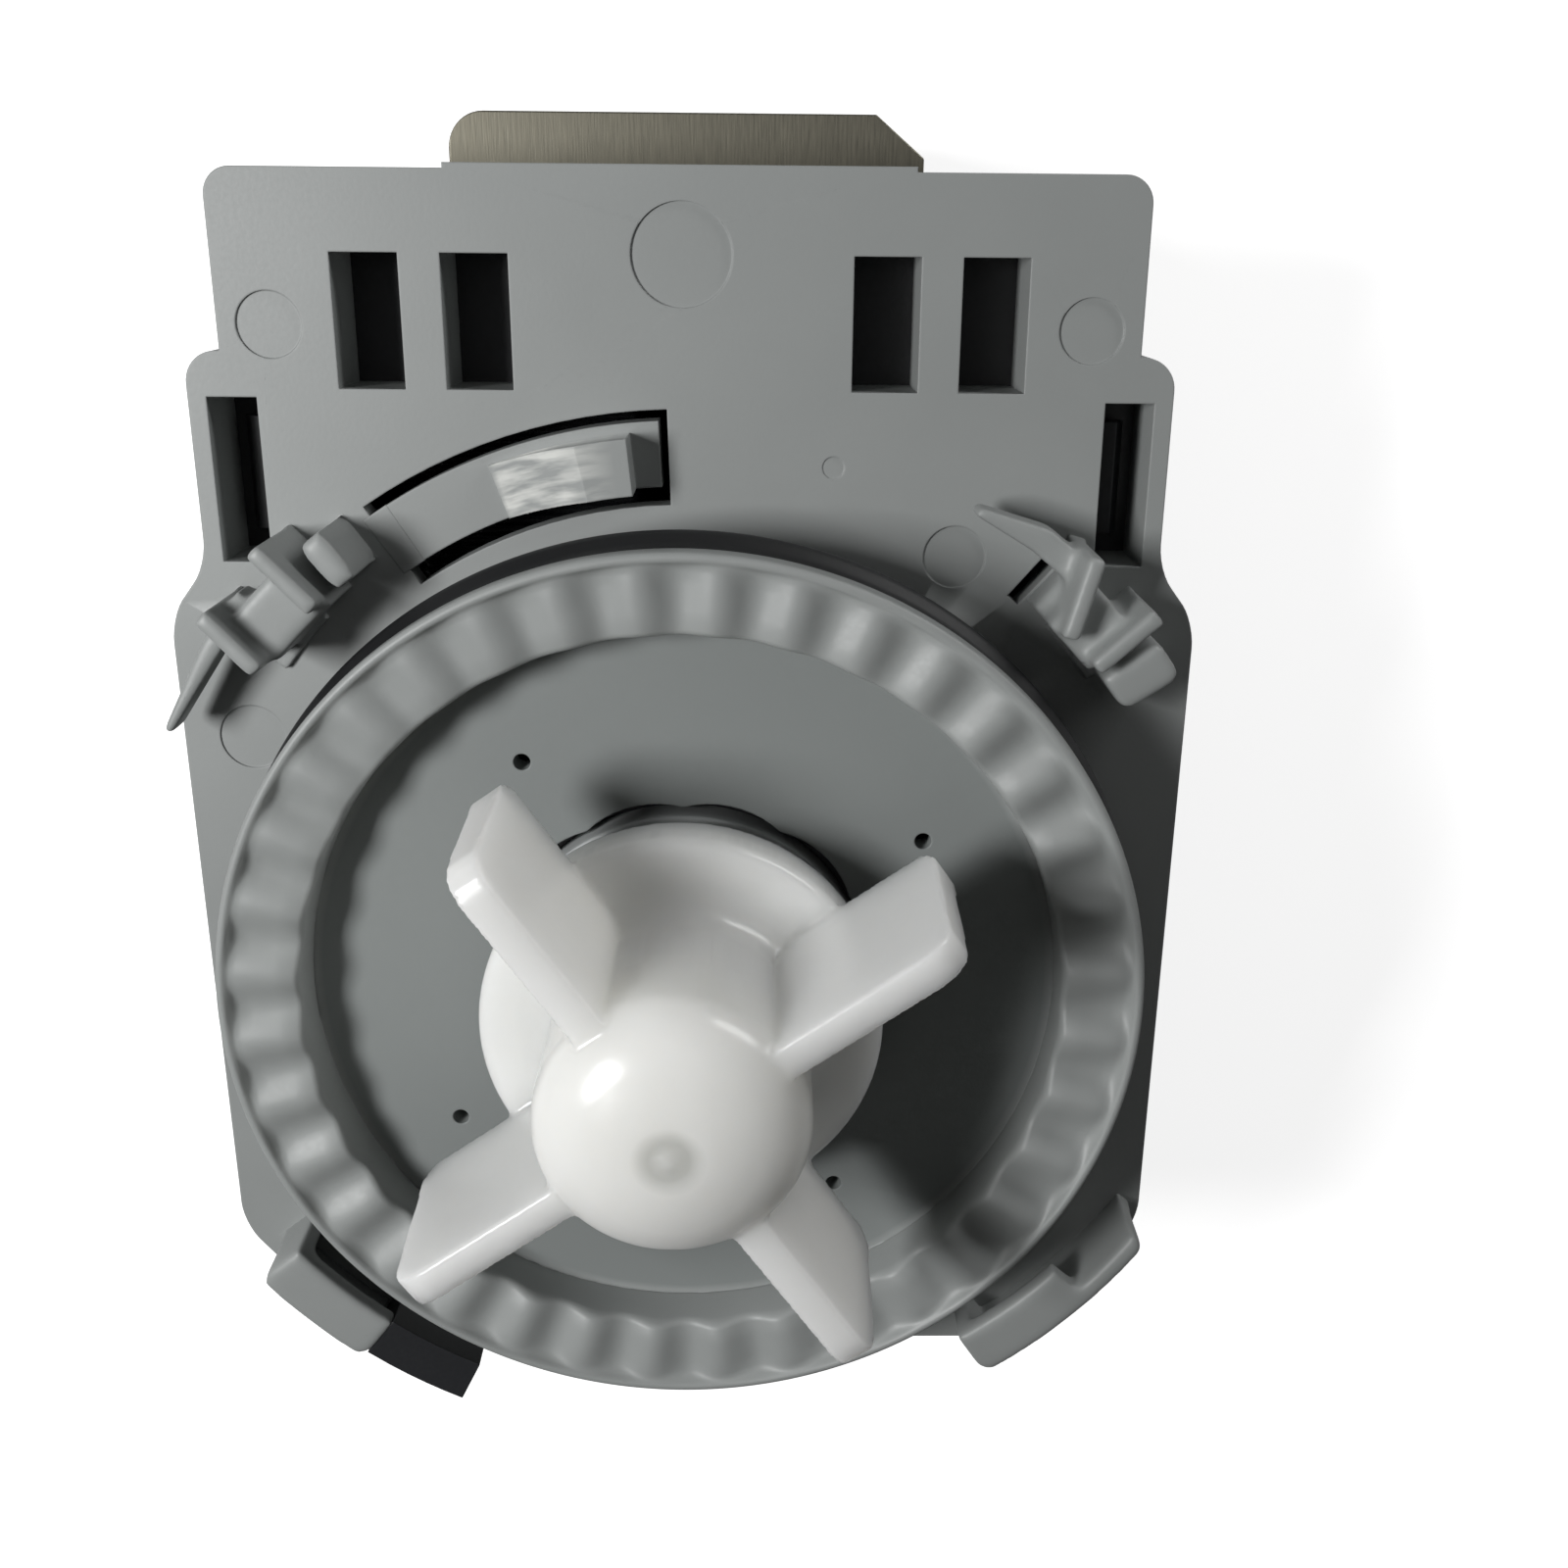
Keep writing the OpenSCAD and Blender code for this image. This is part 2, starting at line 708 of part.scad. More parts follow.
module front_thrust_washer() {
    color("#8a6a3a") at_face() tube(carrier_r, shaft_r, carrier_top_z, carrier_top_z + washer_t);
}

module rear_thrust_washer() {
    color("#8a6a3a") at_face() tube(carrier_r, shaft_r, carrier_z - washer_t, carrier_z);
}

module front_bearing() {
    color("#35363a") at_face() tube(bearing_r, shaft_r + shaft_gap, front_bearing_z, front_bearing_top_z);
}

module front_bearing_cushion() {
    color("#202122") at_face() tube(holder_bore_r, bearing_r, holder_z + 0.6, front_bearing_top_z);
}

module front_bearing_holder() {
    groove_in_r = o_ring_centre_r - o_ring_r;
    lip_bore_r = shaft_r + 1;
    color("#9a9c9c") at_face() difference() {
        union() {
            disc(holder_plug_r, holder_z, cavity_top_z + over);
            disc(collar_r, cavity_top_z, collar_top_z);
        }
        disc(holder_bore_r, holder_z - over, front_bearing_top_z);
        disc(lip_bore_r, holder_z, collar_top_z + over);
        tube(holder_plug_r + over, groove_in_r, o_ring_z - 1.1, o_ring_z + 1.1);
        tube(collar_r - 1.6, lip_bore_r + 1.6, collar_top_z - 1, collar_top_z + over);
    }
}

module holder_o_ring() {
    color("#161718") at_face(o_ring_z)
        rotate_extrude() translate([o_ring_centre_r, 0]) circle(r = o_ring_r, $fn = 32);
}

module rotor_can() {
    color("#2b2c2e") at_face() {
        difference() {
            union() {
                disc(can_r, can_z, can_flange_z + over);
                disc(can_flange_r, can_flange_z, cavity_top_z);
            }
            disc(can_bore_r, can_inside_z, cavity_top_z + over);
        }
        tube(holder_bore_r + 1.2, holder_bore_r, can_inside_z - over, rear_bearing_top_z - 0.6);
    }
}

module rear_bearing() {
    color("#35363a") at_face() tube(bearing_r, shaft_r + shaft_gap, rear_bearing_z, rear_bearing_top_z);
}

module rear_bearing_cushion() {
    color("#202122") at_face() tube(holder_bore_r, bearing_r, can_inside_z, rear_bearing_top_z - 0.6);
}

// The laminations' outline: a U with one round and one chamfered corner
module core_outline() {
    difference() {
        union() {
            for (side = [-1, 1]) {
                translate([side * leg_x - leg_w / 2, -leg_bottom])
                    square([leg_w, yoke_low + leg_bottom + over]);
            }
            polygon([
                [-core_half, yoke_low],
                [core_half, yoke_low],
                [core_half, yoke_top - yoke_chamfer_y],
                [core_half - yoke_chamfer_x, yoke_top],
                [yoke_round - core_half, yoke_top],
                [-core_half, yoke_top - yoke_round]
            ]);
            translate([yoke_round - core_half, yoke_top - yoke_round]) circle(r = yoke_round);
        }
        circle(r = pole_bore_d / 2);
    }
}

module stator_core() {
    color("#6e6c5f") at_face() difference() {
        slab(stack_bottom_z, stack_top_z) core_outline();
        for (x = [-leg_x, 0, leg_x]) {
            translate([x, rivet_y, 0]) disc(rivet_r, stack_bottom_z - over, stack_top_z + over);
        }
    }
}

module core_rivets() {
    color("#a9abad") at_face() for (x = [-leg_x, 0, leg_x]) {
        translate([x, rivet_y, 0]) {
            disc(rivet_r, stack_bottom_z, stack_top_z);
            disc(rivet_head_r, stack_top_z, stack_top_z + rivet_head_h);
            disc(rivet_head_r, stack_bottom_z - rivet_head_h, stack_bottom_z);
        }
    }
}

// A closed frame round the right leg, as wide and thick as given
module leg_frame(w, t, hole_w, hole_t, y0, y1) {
    translate([leg_x, y0, stack_mid_z]) rotate([-90, 0, 0]) linear_extrude(y1 - y0) difference() {
        round_rect(-w / 2, -t / 2, w / 2, t / 2, 1);
        square([hole_w, hole_t], center = true);
    }
}

module bobbin() {
    hole_w = leg_w + 2 * bobbin_gap;
    hole_t = stack_t + 2 * bobbin_gap;
    leg_frame(bobbin_core_w, bobbin_core_t, hole_w, hole_t, bobbin_low, bobbin_top);
    leg_frame(bobbin_flange_w, bobbin_flange_t, hole_w, hole_t, bobbin_low, coil_low);
    leg_frame(bobbin_flange_w, bobbin_flange_t, hole_w, hole_t, coil_top, bobbin_top);
}

module left_bobbin() {
    color("#d9d6c6") at_face() mirror([1, 0, 0]) bobbin();
}

module right_bobbin() {
    color("#d9d6c6") at_face() {
        bobbin();
        difference() {
            translate([block_x - over, block_top - block_h, stack_mid_z - block_t / 2])
                cube([block_w + over, block_h, block_t]);
            terminal_pair(0);
        }
    }
}

module coil() {
    w = bobbin_core_w + 2 * coil_rise;
    t = bobbin_core_t + 2 * coil_rise;
    leg_frame(w, t, bobbin_core_w, bobbin_core_t, coil_low, coil_top);
}

module left_coil() {
    color("#b0662f") at_face() mirror([1, 0, 0]) coil();
}

module right_coil() {
    color("#b0662f") at_face() coil();
}

module coil_tape() {
    w = bobbin_core_w + 2 * coil_rise;
    t = bobbin_core_t + 2 * coil_rise;
    translate([leg_x, coil_low, stack_mid_z]) rotate([-90, 0, 0])
        linear_extrude(coil_top - coil_low) difference() {
            round_rect(-w / 2 - tape_t, -t / 2 - tape_t, w / 2 + tape_t, t / 2 + tape_t, 1 + tape_t);
            round_rect(-w / 2, -t / 2, w / 2, t / 2, 1);
        }
}

module left_coil_tape() {
    color("#202123") at_face() mirror([1, 0, 0]) coil_tape();
}

module right_coil_tape() {
    color("#202123") at_face() coil_tape();
}

// The two spade terminals, rooted in the right bobbin's block, grown by a distance
module terminal_pair(d) {
    root = 5;
    for (side = [-1, 1]) {
        translate([terminal_x, block_top - root, stack_mid_z + side * terminal_gap / 2])
            translate([-terminal_t / 2 - d, 0, -terminal_w / 2 - d])
            cube([terminal_t + 2 * d, root + terminal_l + d, terminal_w + 2 * d]);
    }
}

module terminal_blades() {
    hole_r = 0.85;
    hole_depth = 4;
    corner = 1.6;
    tip_y = block_top + terminal_l;
    color("#cfc9b4") at_face() difference() {
        terminal_pair(0);
        for (side = [-1, 1]) {
            translate([terminal_x - terminal_t, tip_y, stack_mid_z + side * terminal_gap / 2]) {
                translate([0, -hole_depth, 0]) rotate([0, 90, 0]) cylinder(r = hole_r, h = 2 * terminal_t);
                for (edge = [-1, 1]) {
                    translate([0, 0, edge * terminal_w / 2]) rotate([45, 0, 0])
                        translate([0, -corner / 2, -corner / 2]) cube([2 * terminal_t, corner, corner]);
                }
            }
        }
    }
}

module thermal_protector() {
    half_w = bobbin_core_w / 2 + coil_rise + tape_t;
    color("#23313f") at_face() translate([-leg_x - half_w - protector_size[0], coil_low + 6, stack_mid_z])
        translate([0, 0, -protector_size[2] / 2]) cube(protector_size);
}

// The cover's outline, drawn in by a distance: square above the axis and round below
module cover_outline(d) {
    round_rect(d - cover_half, 0, cover_half - d, cover_top - d, cover_corner_r - d);
    circle(r = cover_half - d);
}

// The cover's right shoulder behind the side window, with its hook tongue
module cover_shoulder() {
    shoulder_x = cover_half - cover_t;
    translate([shoulder_x, hook_window_y - skirt_t, cover_rim_z - ear_plate_t])
        cube([ear_half - 0.4 - shoulder_x, hook_window_h + 2 * skirt_t, ear_plate_t]);
    translate([tongue_x, tongue_y, cover_rim_z - over])
        cube([tongue_t, tongue_w, tongue_top_z - cover_rim_z + over]);
    translate([tongue_x, tongue_y + tongue_w, 0]) rotate([90, 0, 0]) linear_extrude(tongue_w) polygon([
        [tongue_t - 0.1, tongue_top_z - 2],
        [tongue_t + barb, tongue_top_z - 1.5],
        [tongue_t, tongue_top_z],
        [tongue_t - 0.1, tongue_top_z]
    ]);
}

// The cover's apron behind the two tall windows on the right
module cover_apron() {
    x0 = window_inner_x - window_w / 2 - skirt_t;
    x1 = window_outer_x + window_w / 2 + skirt_t;
    y0 = window_y - skirt_t;
    translate([x0, y0, cover_rim_z - apron_t]) cube([x1 - x0, window_h + 2 * skirt_t, apron_t]);
}

module rear_cover() {
    leg_gap = 0.4;
    ear_z = cover_rim_z - ear_plate_t;
    color("#1d1e20") at_face() difference() {
        union() {
            difference() {
                slab(cover_z, cover_rim_z) cover_outline(0);
                slab(cover_inside_z, cover_rim_z + over) cover_outline(cover_t);
            }
            both_sides() {
                cover_shoulder();
                cover_apron();
                slab(ear_z, cover_rim_z)
                    bar(polar(cover_half - 1, screw_angle), polar(screw_circle_r, screw_angle), ear_bar_w);
                at_screw() disc(ear_r, ear_z, cover_rim_z);
                slab(cover_inside_z - over, stack_bottom_z)
                    translate([pad_x, pad_y]) square(pad_size, center = true);
            }
            slab(ear_z, cover_rim_z) sector(cover_half - 1, hook_r_out, hook_start, hook_end);
            slab(ear_z, lug_h - 0.4) sector(lug_r_in, hook_r_out, hook_start, hook_end);
        }
        translate([-core_half - leg_gap, cover_top - cover_t - over, stack_bottom_z - leg_gap])
            cube([core_w + 2 * leg_gap, cover_t + 2 * over, stack_t + 2 * leg_gap]);
        terminal_pair(leg_gap);
        both_sides() at_screw() disc(screw_d / 2 + 0.2, ear_z - over, cover_rim_z + over);
    }
}

module cover_screws() {
    drive_r = 1.2;
    ear_z = cover_rim_z - ear_plate_t;
    color("#b9bcbe") at_face(ear_z) both_sides() at_screw() difference() {
        union() {
            disc(pilot_r, -over, ear_plate_t + screw_reach);
            disc(screw_head_r, -screw_head_h, 0);
        }
        disc(drive_r, -screw_head_h - over, drive_r - screw_head_h);
    }
}

mounting_plate();
latch_arm();
spigot_seal();
impeller();
impeller_hub_plug();
rotor_shaft();
drive_dog();
dog_pads();
rotor_magnet();
magnet_carrier();
front_thrust_washer();
rear_thrust_washer();
front_bearing();
front_bearing_cushion();
front_bearing_holder();
holder_o_ring();
rotor_can();
rear_bearing();
rear_bearing_cushion();
stator_core();
core_rivets();
left_bobbin();
right_bobbin();
left_coil();
right_coil();
left_coil_tape();
right_coil_tape();
terminal_blades();
thermal_protector();
rear_cover();
cover_screws();
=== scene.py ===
import math

import bmesh
import bpy
from mathutils import Matrix, Vector


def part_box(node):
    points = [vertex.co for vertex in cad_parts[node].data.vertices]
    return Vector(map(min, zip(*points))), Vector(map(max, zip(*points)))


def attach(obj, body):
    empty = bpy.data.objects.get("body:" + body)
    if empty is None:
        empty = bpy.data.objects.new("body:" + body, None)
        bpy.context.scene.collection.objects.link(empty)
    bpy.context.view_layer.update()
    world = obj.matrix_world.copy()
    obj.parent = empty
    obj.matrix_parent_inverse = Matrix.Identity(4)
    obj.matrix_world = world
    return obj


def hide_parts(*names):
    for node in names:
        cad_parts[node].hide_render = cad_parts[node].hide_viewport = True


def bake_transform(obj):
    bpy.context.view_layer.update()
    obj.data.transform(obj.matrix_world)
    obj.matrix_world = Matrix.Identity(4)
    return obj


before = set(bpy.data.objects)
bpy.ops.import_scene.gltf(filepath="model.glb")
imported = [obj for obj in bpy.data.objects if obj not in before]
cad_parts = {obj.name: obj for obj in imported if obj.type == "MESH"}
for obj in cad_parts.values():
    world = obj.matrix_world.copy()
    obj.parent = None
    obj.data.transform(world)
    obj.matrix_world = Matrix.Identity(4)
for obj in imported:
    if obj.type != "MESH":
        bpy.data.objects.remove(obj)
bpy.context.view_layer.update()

# Viewpoint.
# The pump lies on the back of its motor, and the camera looks down on the
# plate from above the yoke, as a phone held over a bench does.
mm = 0.001
face_z = 43.5 * mm
camera_place = Vector((5.87 * mm, 60.76 * mm, face_z + 131.06 * mm))
camera_pitch = 0.3355
camera_yaw = -0.0183
camera_roll = 0.0031
level_right = Vector((1, 0, 0))
pitched_up = Vector((0, math.cos(camera_pitch), -math.sin(camera_pitch)))
pitched_ahead = Vector((0, -math.sin(camera_pitch), -math.cos(camera_pitch)))
turned_right = level_right * math.cos(camera_yaw) + pitched_ahead * math.sin(camera_yaw)
view_ahead = pitched_ahead * math.cos(camera_yaw) - level_right * math.sin(camera_yaw)
view_right = turned_right * math.cos(camera_roll) + pitched_up * math.sin(camera_roll)
view_up = pitched_up * math.cos(camera_roll) - turned_right * math.sin(camera_roll)
camera_data = bpy.data.cameras.new("camera")
camera_data.lens = 36.53
camera_data.sensor_width = 36
camera_data.clip_start = 0.01
camera = bpy.data.objects.new("camera", camera_data)
bpy.context.scene.collection.objects.link(camera)
camera_turn = Matrix((view_right, view_up, -view_ahead)).transposed().to_4x4()
camera.matrix_world = Matrix.Translation(camera_place) @ camera_turn
bpy.context.scene.camera = camera
bpy.context.scene.view_settings.view_transform = "Standard"


# Mounting plate.
# One moulding of grey mineral-filled polypropylene: a shallow tray with the
# spigot's wall, the well's floor and the window frames. The tool's corners
# leave its front edges round.
plate_outline_r = 0.75 * mm
plate_corner_cut = 2.2 * mm
ring_seam_z = face_z + 10.9 * mm
well_wall_mid_r = 33.8 * mm
plate_corners = [(43, 29.6), (43, -29.6), (29.6, -43), (39.6, 34.0)]
clip_zone = [(39.5, 0.02), (39.5, 20), (70, 20), (70, 0.02)]


def colour(text):
    """A colour written as sRGB hex, turned to linear values."""
    parts = [int(text[i:i + 2], 16) / 255 for i in (0, 2, 4)]
    return tuple([p / 12.92 if p <= 0.04045 else ((p + 0.055) / 1.055) ** 2.4 for p in parts] + [1])


def add(material, kind, sockets=None, **settings):
    """Adds a node to a material, with its settings, values and links."""
    node = material.node_tree.nodes.new(kind)
    for key, value in settings.items():
        setattr(node, key, value)
    for key, value in (sockets or {}).items():
        if isinstance(value, bpy.types.NodeSocket):
            material.node_tree.links.new(value, node.inputs[key])
        else:
            node.inputs[key].default_value = value
    return node


def new_material(name):
    """An empty node material."""
    material = bpy.data.materials.new(name)
    material.use_nodes = True
    material.node_tree.nodes.clear()
    return material


def moulded_plastic(name, hue, darker, roughness, grain=0.35, edge_r=0.2 * mm, ior=1.49):
    """A moulded thermoplastic: a fine spark-eroded grain, faint flow clouding and soft edges."""
    material = new_material(name)
    place = add(material, "ShaderNodeTexCoord").outputs["Object"]
    clouds = add(material, "ShaderNodeTexNoise", {"Vector": place, "Scale": 90, "Detail": 3})
    speck = add(material, "ShaderNodeTexNoise", {"Vector": place, "Scale": 2600, "Detail": 2})
    tone = add(material, "ShaderNodeMix", {0: clouds.outputs[0], 6: colour(darker), 7: colour(hue)},
               data_type="RGBA", name="tone")
    gloss = add(material, "ShaderNodeMapRange",
                {0: speck.outputs[0], 3: roughness - 0.06, 4: roughness + 0.08})
    soft_edge = add(material, "ShaderNodeBevel", {"Radius": edge_r}, samples=6)
    relief = add(material, "ShaderNodeBump",
                 {"Height": speck.outputs[0], "Distance": 0.02 * mm, "Strength": grain,
                  "Normal": soft_edge.outputs[0]})
    shader = add(material, "ShaderNodeBsdfPrincipled",
                 {"Base Color": tone.outputs[2], "Roughness": gloss.outputs[0], "Normal": relief.outputs[0],
                  "IOR": ior}, name="shader")
    add(material, "ShaderNodeOutputMaterial", {"Surface": shader.outputs[0]})
    return material


def from_axis(material, place):
    """The parts of a place, and how far it lies from the pump's axis."""
    parts = add(material, "ShaderNodeSeparateXYZ", {"Vector": place})
    flat = add(material, "ShaderNodeCombineXYZ", {"X": parts.outputs["X"], "Y": parts.outputs["Y"]})
    reach = add(material, "ShaderNodeVectorMath", {0: flat.outputs[0]}, operation="LENGTH")
    return parts.outputs, reach.outputs["Value"]


def recolour(material, tone):
    """Links another colour to the shader of a material that a helper made."""
    material.node_tree.links.new(tone.outputs[2], material.node_tree.nodes["shader"].inputs["Base Color"])


def cad_copy(node, name, join_faces=True):
    """A copy of a CAD node's mesh, merged into a clean shell with its flat faces joined."""
    bpy.ops.object.select_all(action="DESELECT")
    piece = bpy.data.objects.new(name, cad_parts[node].data.copy())
    bpy.context.scene.collection.objects.link(piece)
    bpy.context.view_layer.objects.active = piece
    piece.select_set(True)
    bpy.ops.object.mode_set(mode="EDIT")
    bpy.ops.mesh.select_all(action="SELECT")
    bpy.ops.mesh.remove_doubles(threshold=0.002 * mm)
    if join_faces:
        bpy.ops.mesh.dissolve_limited(angle_limit=math.radians(0.8))
    bpy.ops.object.mode_set(mode="OBJECT")
    return piece


def turned_piece(name, profile, steps, level):
    """A closed turned piece: a circle at the profile's first point, extruded from point to point."""
    bpy.ops.object.select_all(action="DESELECT")
    bpy.ops.mesh.primitive_circle_add(vertices=steps, radius=profile[0][0] * mm,
                                      location=(0, 0, level + profile[0][1] * mm))
    piece = bpy.context.object
    piece.name = name
    bpy.ops.object.transform_apply(location=True)
    bpy.ops.object.mode_set(mode="EDIT")
    bpy.ops.mesh.select_mode(type="VERT")
    for before, after in zip(profile, profile[1:] + profile[:1]):
        bpy.ops.mesh.select_all(action="DESELECT")
        bpy.ops.object.mode_set(mode="OBJECT")
        corners = piece.data.vertices
        for corner in list(corners)[-steps:]:
            corner.select = True
        bpy.ops.object.mode_set(mode="EDIT")
        bpy.ops.mesh.extrude_edges_move()
        bpy.ops.transform.resize(value=(after[0] / before[0], after[0] / before[0], 1),
                                 center_override=(0, 0, 0))
        bpy.ops.transform.translate(value=(0, 0, (after[1] - before[1]) * mm))
    bpy.ops.mesh.select_all(action="SELECT")
    bpy.ops.mesh.remove_doubles(threshold=0.001 * mm)
    bpy.ops.mesh.normals_make_consistent(inside=False)
    bpy.ops.object.mode_set(mode="OBJECT")
    return piece


def select_edges(piece, test):
    """Selects the edges of a piece whose two ends pass a test, and nothing else."""
    bpy.ops.object.mode_set(mode="EDIT")
    bpy.ops.mesh.select_all(action="DESELECT")
    bpy.ops.mesh.select_mode(type="EDGE")
    bpy.ops.object.mode_set(mode="OBJECT")
    corners = piece.data.vertices
    for edge in piece.data.edges:
        edge.select = test(corners[edge.vertices[0]].co, corners[edge.vertices[1]].co)
    bpy.ops.object.mode_set(mode="EDIT")


def apply_modifier(piece, kind, **settings):
    """Adds a modifier to a piece and applies it."""
    bpy.ops.object.select_all(action="DESELECT")
    piece.select_set(True)
    bpy.context.view_layer.objects.active = piece
    modifier = piece.modifiers.new(kind.lower(), kind)
    for key, value in settings.items():
        setattr(modifier, key, value)
    bpy.ops.object.modifier_apply(modifier=modifier.name)


def combine(piece, tool, operation, keep_tool=False):
    """Joins, cuts or keeps the common part of a piece and a tool."""
    apply_modifier(piece, "BOOLEAN", operation=operation, object=tool, solver="EXACT")
    if not keep_tool:
        bpy.data.objects.remove(tool)


def round_edges(piece, width, segments, share=lambda a, b: 1):
    """Rounds a piece's outer corners by a share of a width, and keeps its flat faces flat."""
    mesh = bmesh.new()
    mesh.from_mesh(piece.data)
    weight = mesh.edges.layers.float.new("bevel_weight_edge")
    for edge in mesh.edges:
        if len(edge.link_faces) == 2 and edge.calc_face_angle_signed(0) > 0.6:
            edge[weight] = share(edge.verts[0].co, edge.verts[1].co)
    mesh.to_mesh(piece.data)
    mesh.free()
    bpy.ops.object.select_all(action="DESELECT")
    piece.select_set(True)
    bpy.context.view_layer.objects.active = piece
    bpy.ops.object.shade_smooth_by_angle(angle=math.radians(35))
    apply_modifier(piece, "BEVEL", width=width, segments=segments, limit_method="WEIGHT",
                   use_clamp_overlap=True, harden_normals=True)
    apply_modifier(piece, "WEIGHTED_NORMAL", keep_sharp=True)


def sink_disc(piece, x, y, level, r, deep, steps):
    """Sinks a flat round mark into a piece's face at a level."""
    bpy.ops.object.select_all(action="DESELECT")
    bpy.ops.mesh.primitive_cylinder_add(vertices=steps, radius=r * mm, depth=2 * deep * mm,
                                        location=(x * mm, y * mm, level))
    bpy.ops.object.transform_apply(location=True)
    combine(piece, bpy.context.object, "DIFFERENCE")


def upright(a, b):
    """Whether an edge of some height stands upright."""
    return (a - b).xy.length < 0.01 * mm and abs(a.z - b.z) > 1.5 * mm


def wear(piece, material):
    """Gives a piece one material."""
    piece.data.materials.clear()
    piece.data.materials.append(material)


plate = cad_copy("mounting_plate", "plate_moulding")
bpy.ops.object.mode_set(mode="EDIT")
bpy.ops.mesh.select_all(action="SELECT")
bpy.ops.mesh.bisect(plane_co=(0, 0, ring_seam_z), plane_no=(0, 0, 1), clear_outer=True)
for wall in (-1, 1):
    select_edges(plate, lambda a, b: min(a.z, b.z) > ring_seam_z - 0.01 * mm
                 and (a.xy.length - well_wall_mid_r) * wall > 0
                 and (b.xy.length - well_wall_mid_r) * wall > 0)
    bpy.ops.mesh.bridge_edge_loops()
select_edges(plate, lambda a, b: upright(a, b)
             and any((a.xy - Vector((side * x * mm, y * mm))).length < 0.6 * mm
                     for x, y in plate_corners for side in (-1, 1)))
bpy.ops.mesh.bevel(offset=plate_corner_cut, segments=6)
bpy.ops.object.mode_set(mode="OBJECT")
clips = bpy.data.objects.new("clip_mouldings", plate.data.copy())
bpy.context.scene.collection.objects.link(clips)
clip_box = turned_piece("clip_box", clip_zone, 96, face_z)
combine(plate, clip_box, "DIFFERENCE", keep_tool=True)


def front_edge_share(a, b):
    """How round a front edge of the plate is: its outline most, its windows less, the rest not."""
    if abs(a.z - face_z) > 0.05 * mm or abs(b.z - face_z) > 0.05 * mm:
        return 0
    middle = (a + b) / 2 / mm
    outline = (middle.y > 65 or abs(middle.x) > 42.3 or (middle.y > 37 and abs(middle.x) > 36)
               or (middle.y < 10 and middle.xy.length > 45))
    return 1 if outline else 0.5


round_edges(plate, plate_outline_r, 3, front_edge_share)
# Round marks of the tool's pins and blanked gates, sunk a little into the face.
marks = [(0, 58.8, 4.0, 0.2), (-32.6, 53.3, 2.6, 0.16), (32.6, 53.3, 2.6, 0.18), (22.4, 35.1, 2.6, 0.18),
         (-37.2, 19.2, 2.8, 0.12), (12.2, 42.4, 0.9, 0.07)]
for x, y, r, deep in marks:
    sink_disc(plate, x, y, face_z, r, deep, 96)
bpy.ops.object.shade_smooth_by_angle(angle=math.radians(35))
apply_modifier(plate, "WEIGHTED_NORMAL", keep_sharp=True)
# Grey polypropylene from a spark-eroded tool: satin, with a faint clouding. The
# well's floor is painted a shade darker and cooler: painted shade of the deep well.
grey_plastic = moulded_plastic("grey_polypropylene", "939695", "8b8e8d", 0.46)
well_place = add(grey_plastic, "ShaderNodeTexCoord").outputs["Object"]
well_parts, well_reach = from_axis(grey_plastic, well_place)
# Painted shade: inside this reach the well's floor takes a darker, cooler grey.
well_shade_share = add(grey_plastic, "ShaderNodeMapRange", {0: well_reach, 1: 31.2 * mm, 2: 30.6 * mm})
well_painted_shade = add(grey_plastic, "ShaderNodeMix",
                {0: well_shade_share.outputs[0], 6: grey_plastic.node_tree.nodes["tone"].outputs[2],
                 7: colour("7f8382")}, data_type="RGBA")
recolour(grey_plastic, well_painted_shade)
wear(plate, grey_plastic)
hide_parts("mounting_plate")
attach(plate, "housing")

# Clips and lugs.
# The bayonet's four lugs, moulded in one with the plate. Their cores pull away
# at an angle, so every corner is soft but those of the thin ledges at their
# feet. They root a little way into the plate.
clip_voxel = 0.24 * mm
clip_root = 0.8 * mm
lug_outside_r = 49.2 * mm
lug_corner_r = 1.5 * mm
end_block_h = 7.48 * mm
end_block_r = 1 * mm
ledge_top = face_z + 0.9 * mm
combine(clips, clip_box, "INTERSECT")
bpy.ops.object.mode_set(mode="EDIT")
bpy.ops.mesh.select_all(action="DESELECT")
bpy.ops.mesh.select_mode(type="FACE")
bpy.ops.object.mode_set(mode="OBJECT")
for face in clips.data.polygons:
    face.select = face.normal.z < -0.99 and face.center.z < face_z + 0.1 * mm
bpy.ops.object.mode_set(mode="EDIT")
bpy.ops.mesh.extrude_region_move(TRANSFORM_OT_translate={"value": (0, 0, -clip_root)})
select_edges(clips, lambda a, b: upright(a, b) and a.xy.length > lug_outside_r and a.y < 0)
bpy.ops.mesh.bevel(offset=lug_corner_r, segments=6)
select_edges(clips, lambda a, b: upright(a, b) and abs(abs(a.z - b.z) - end_block_h) < 0.05 * mm and a.y > 0)
bpy.ops.mesh.bevel(offset=end_block_r, segments=6)
bpy.ops.object.mode_set(mode="OBJECT")
clips.data.remesh_voxel_size = clip_voxel
bpy.ops.object.voxel_remesh()
soft = clips.vertex_groups.new(name="above_the_ledge")
for corner in clips.data.vertices:
    soft.add([corner.index], 1 if corner.co.z > ledge_top else 0.1, "REPLACE")
apply_modifier(clips, "SMOOTH", factor=0.5, iterations=48, vertex_group=soft.name)
bpy.ops.object.shade_smooth()
wear(clips, grey_plastic)
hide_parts("mounting_plate")
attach(clips, "housing")

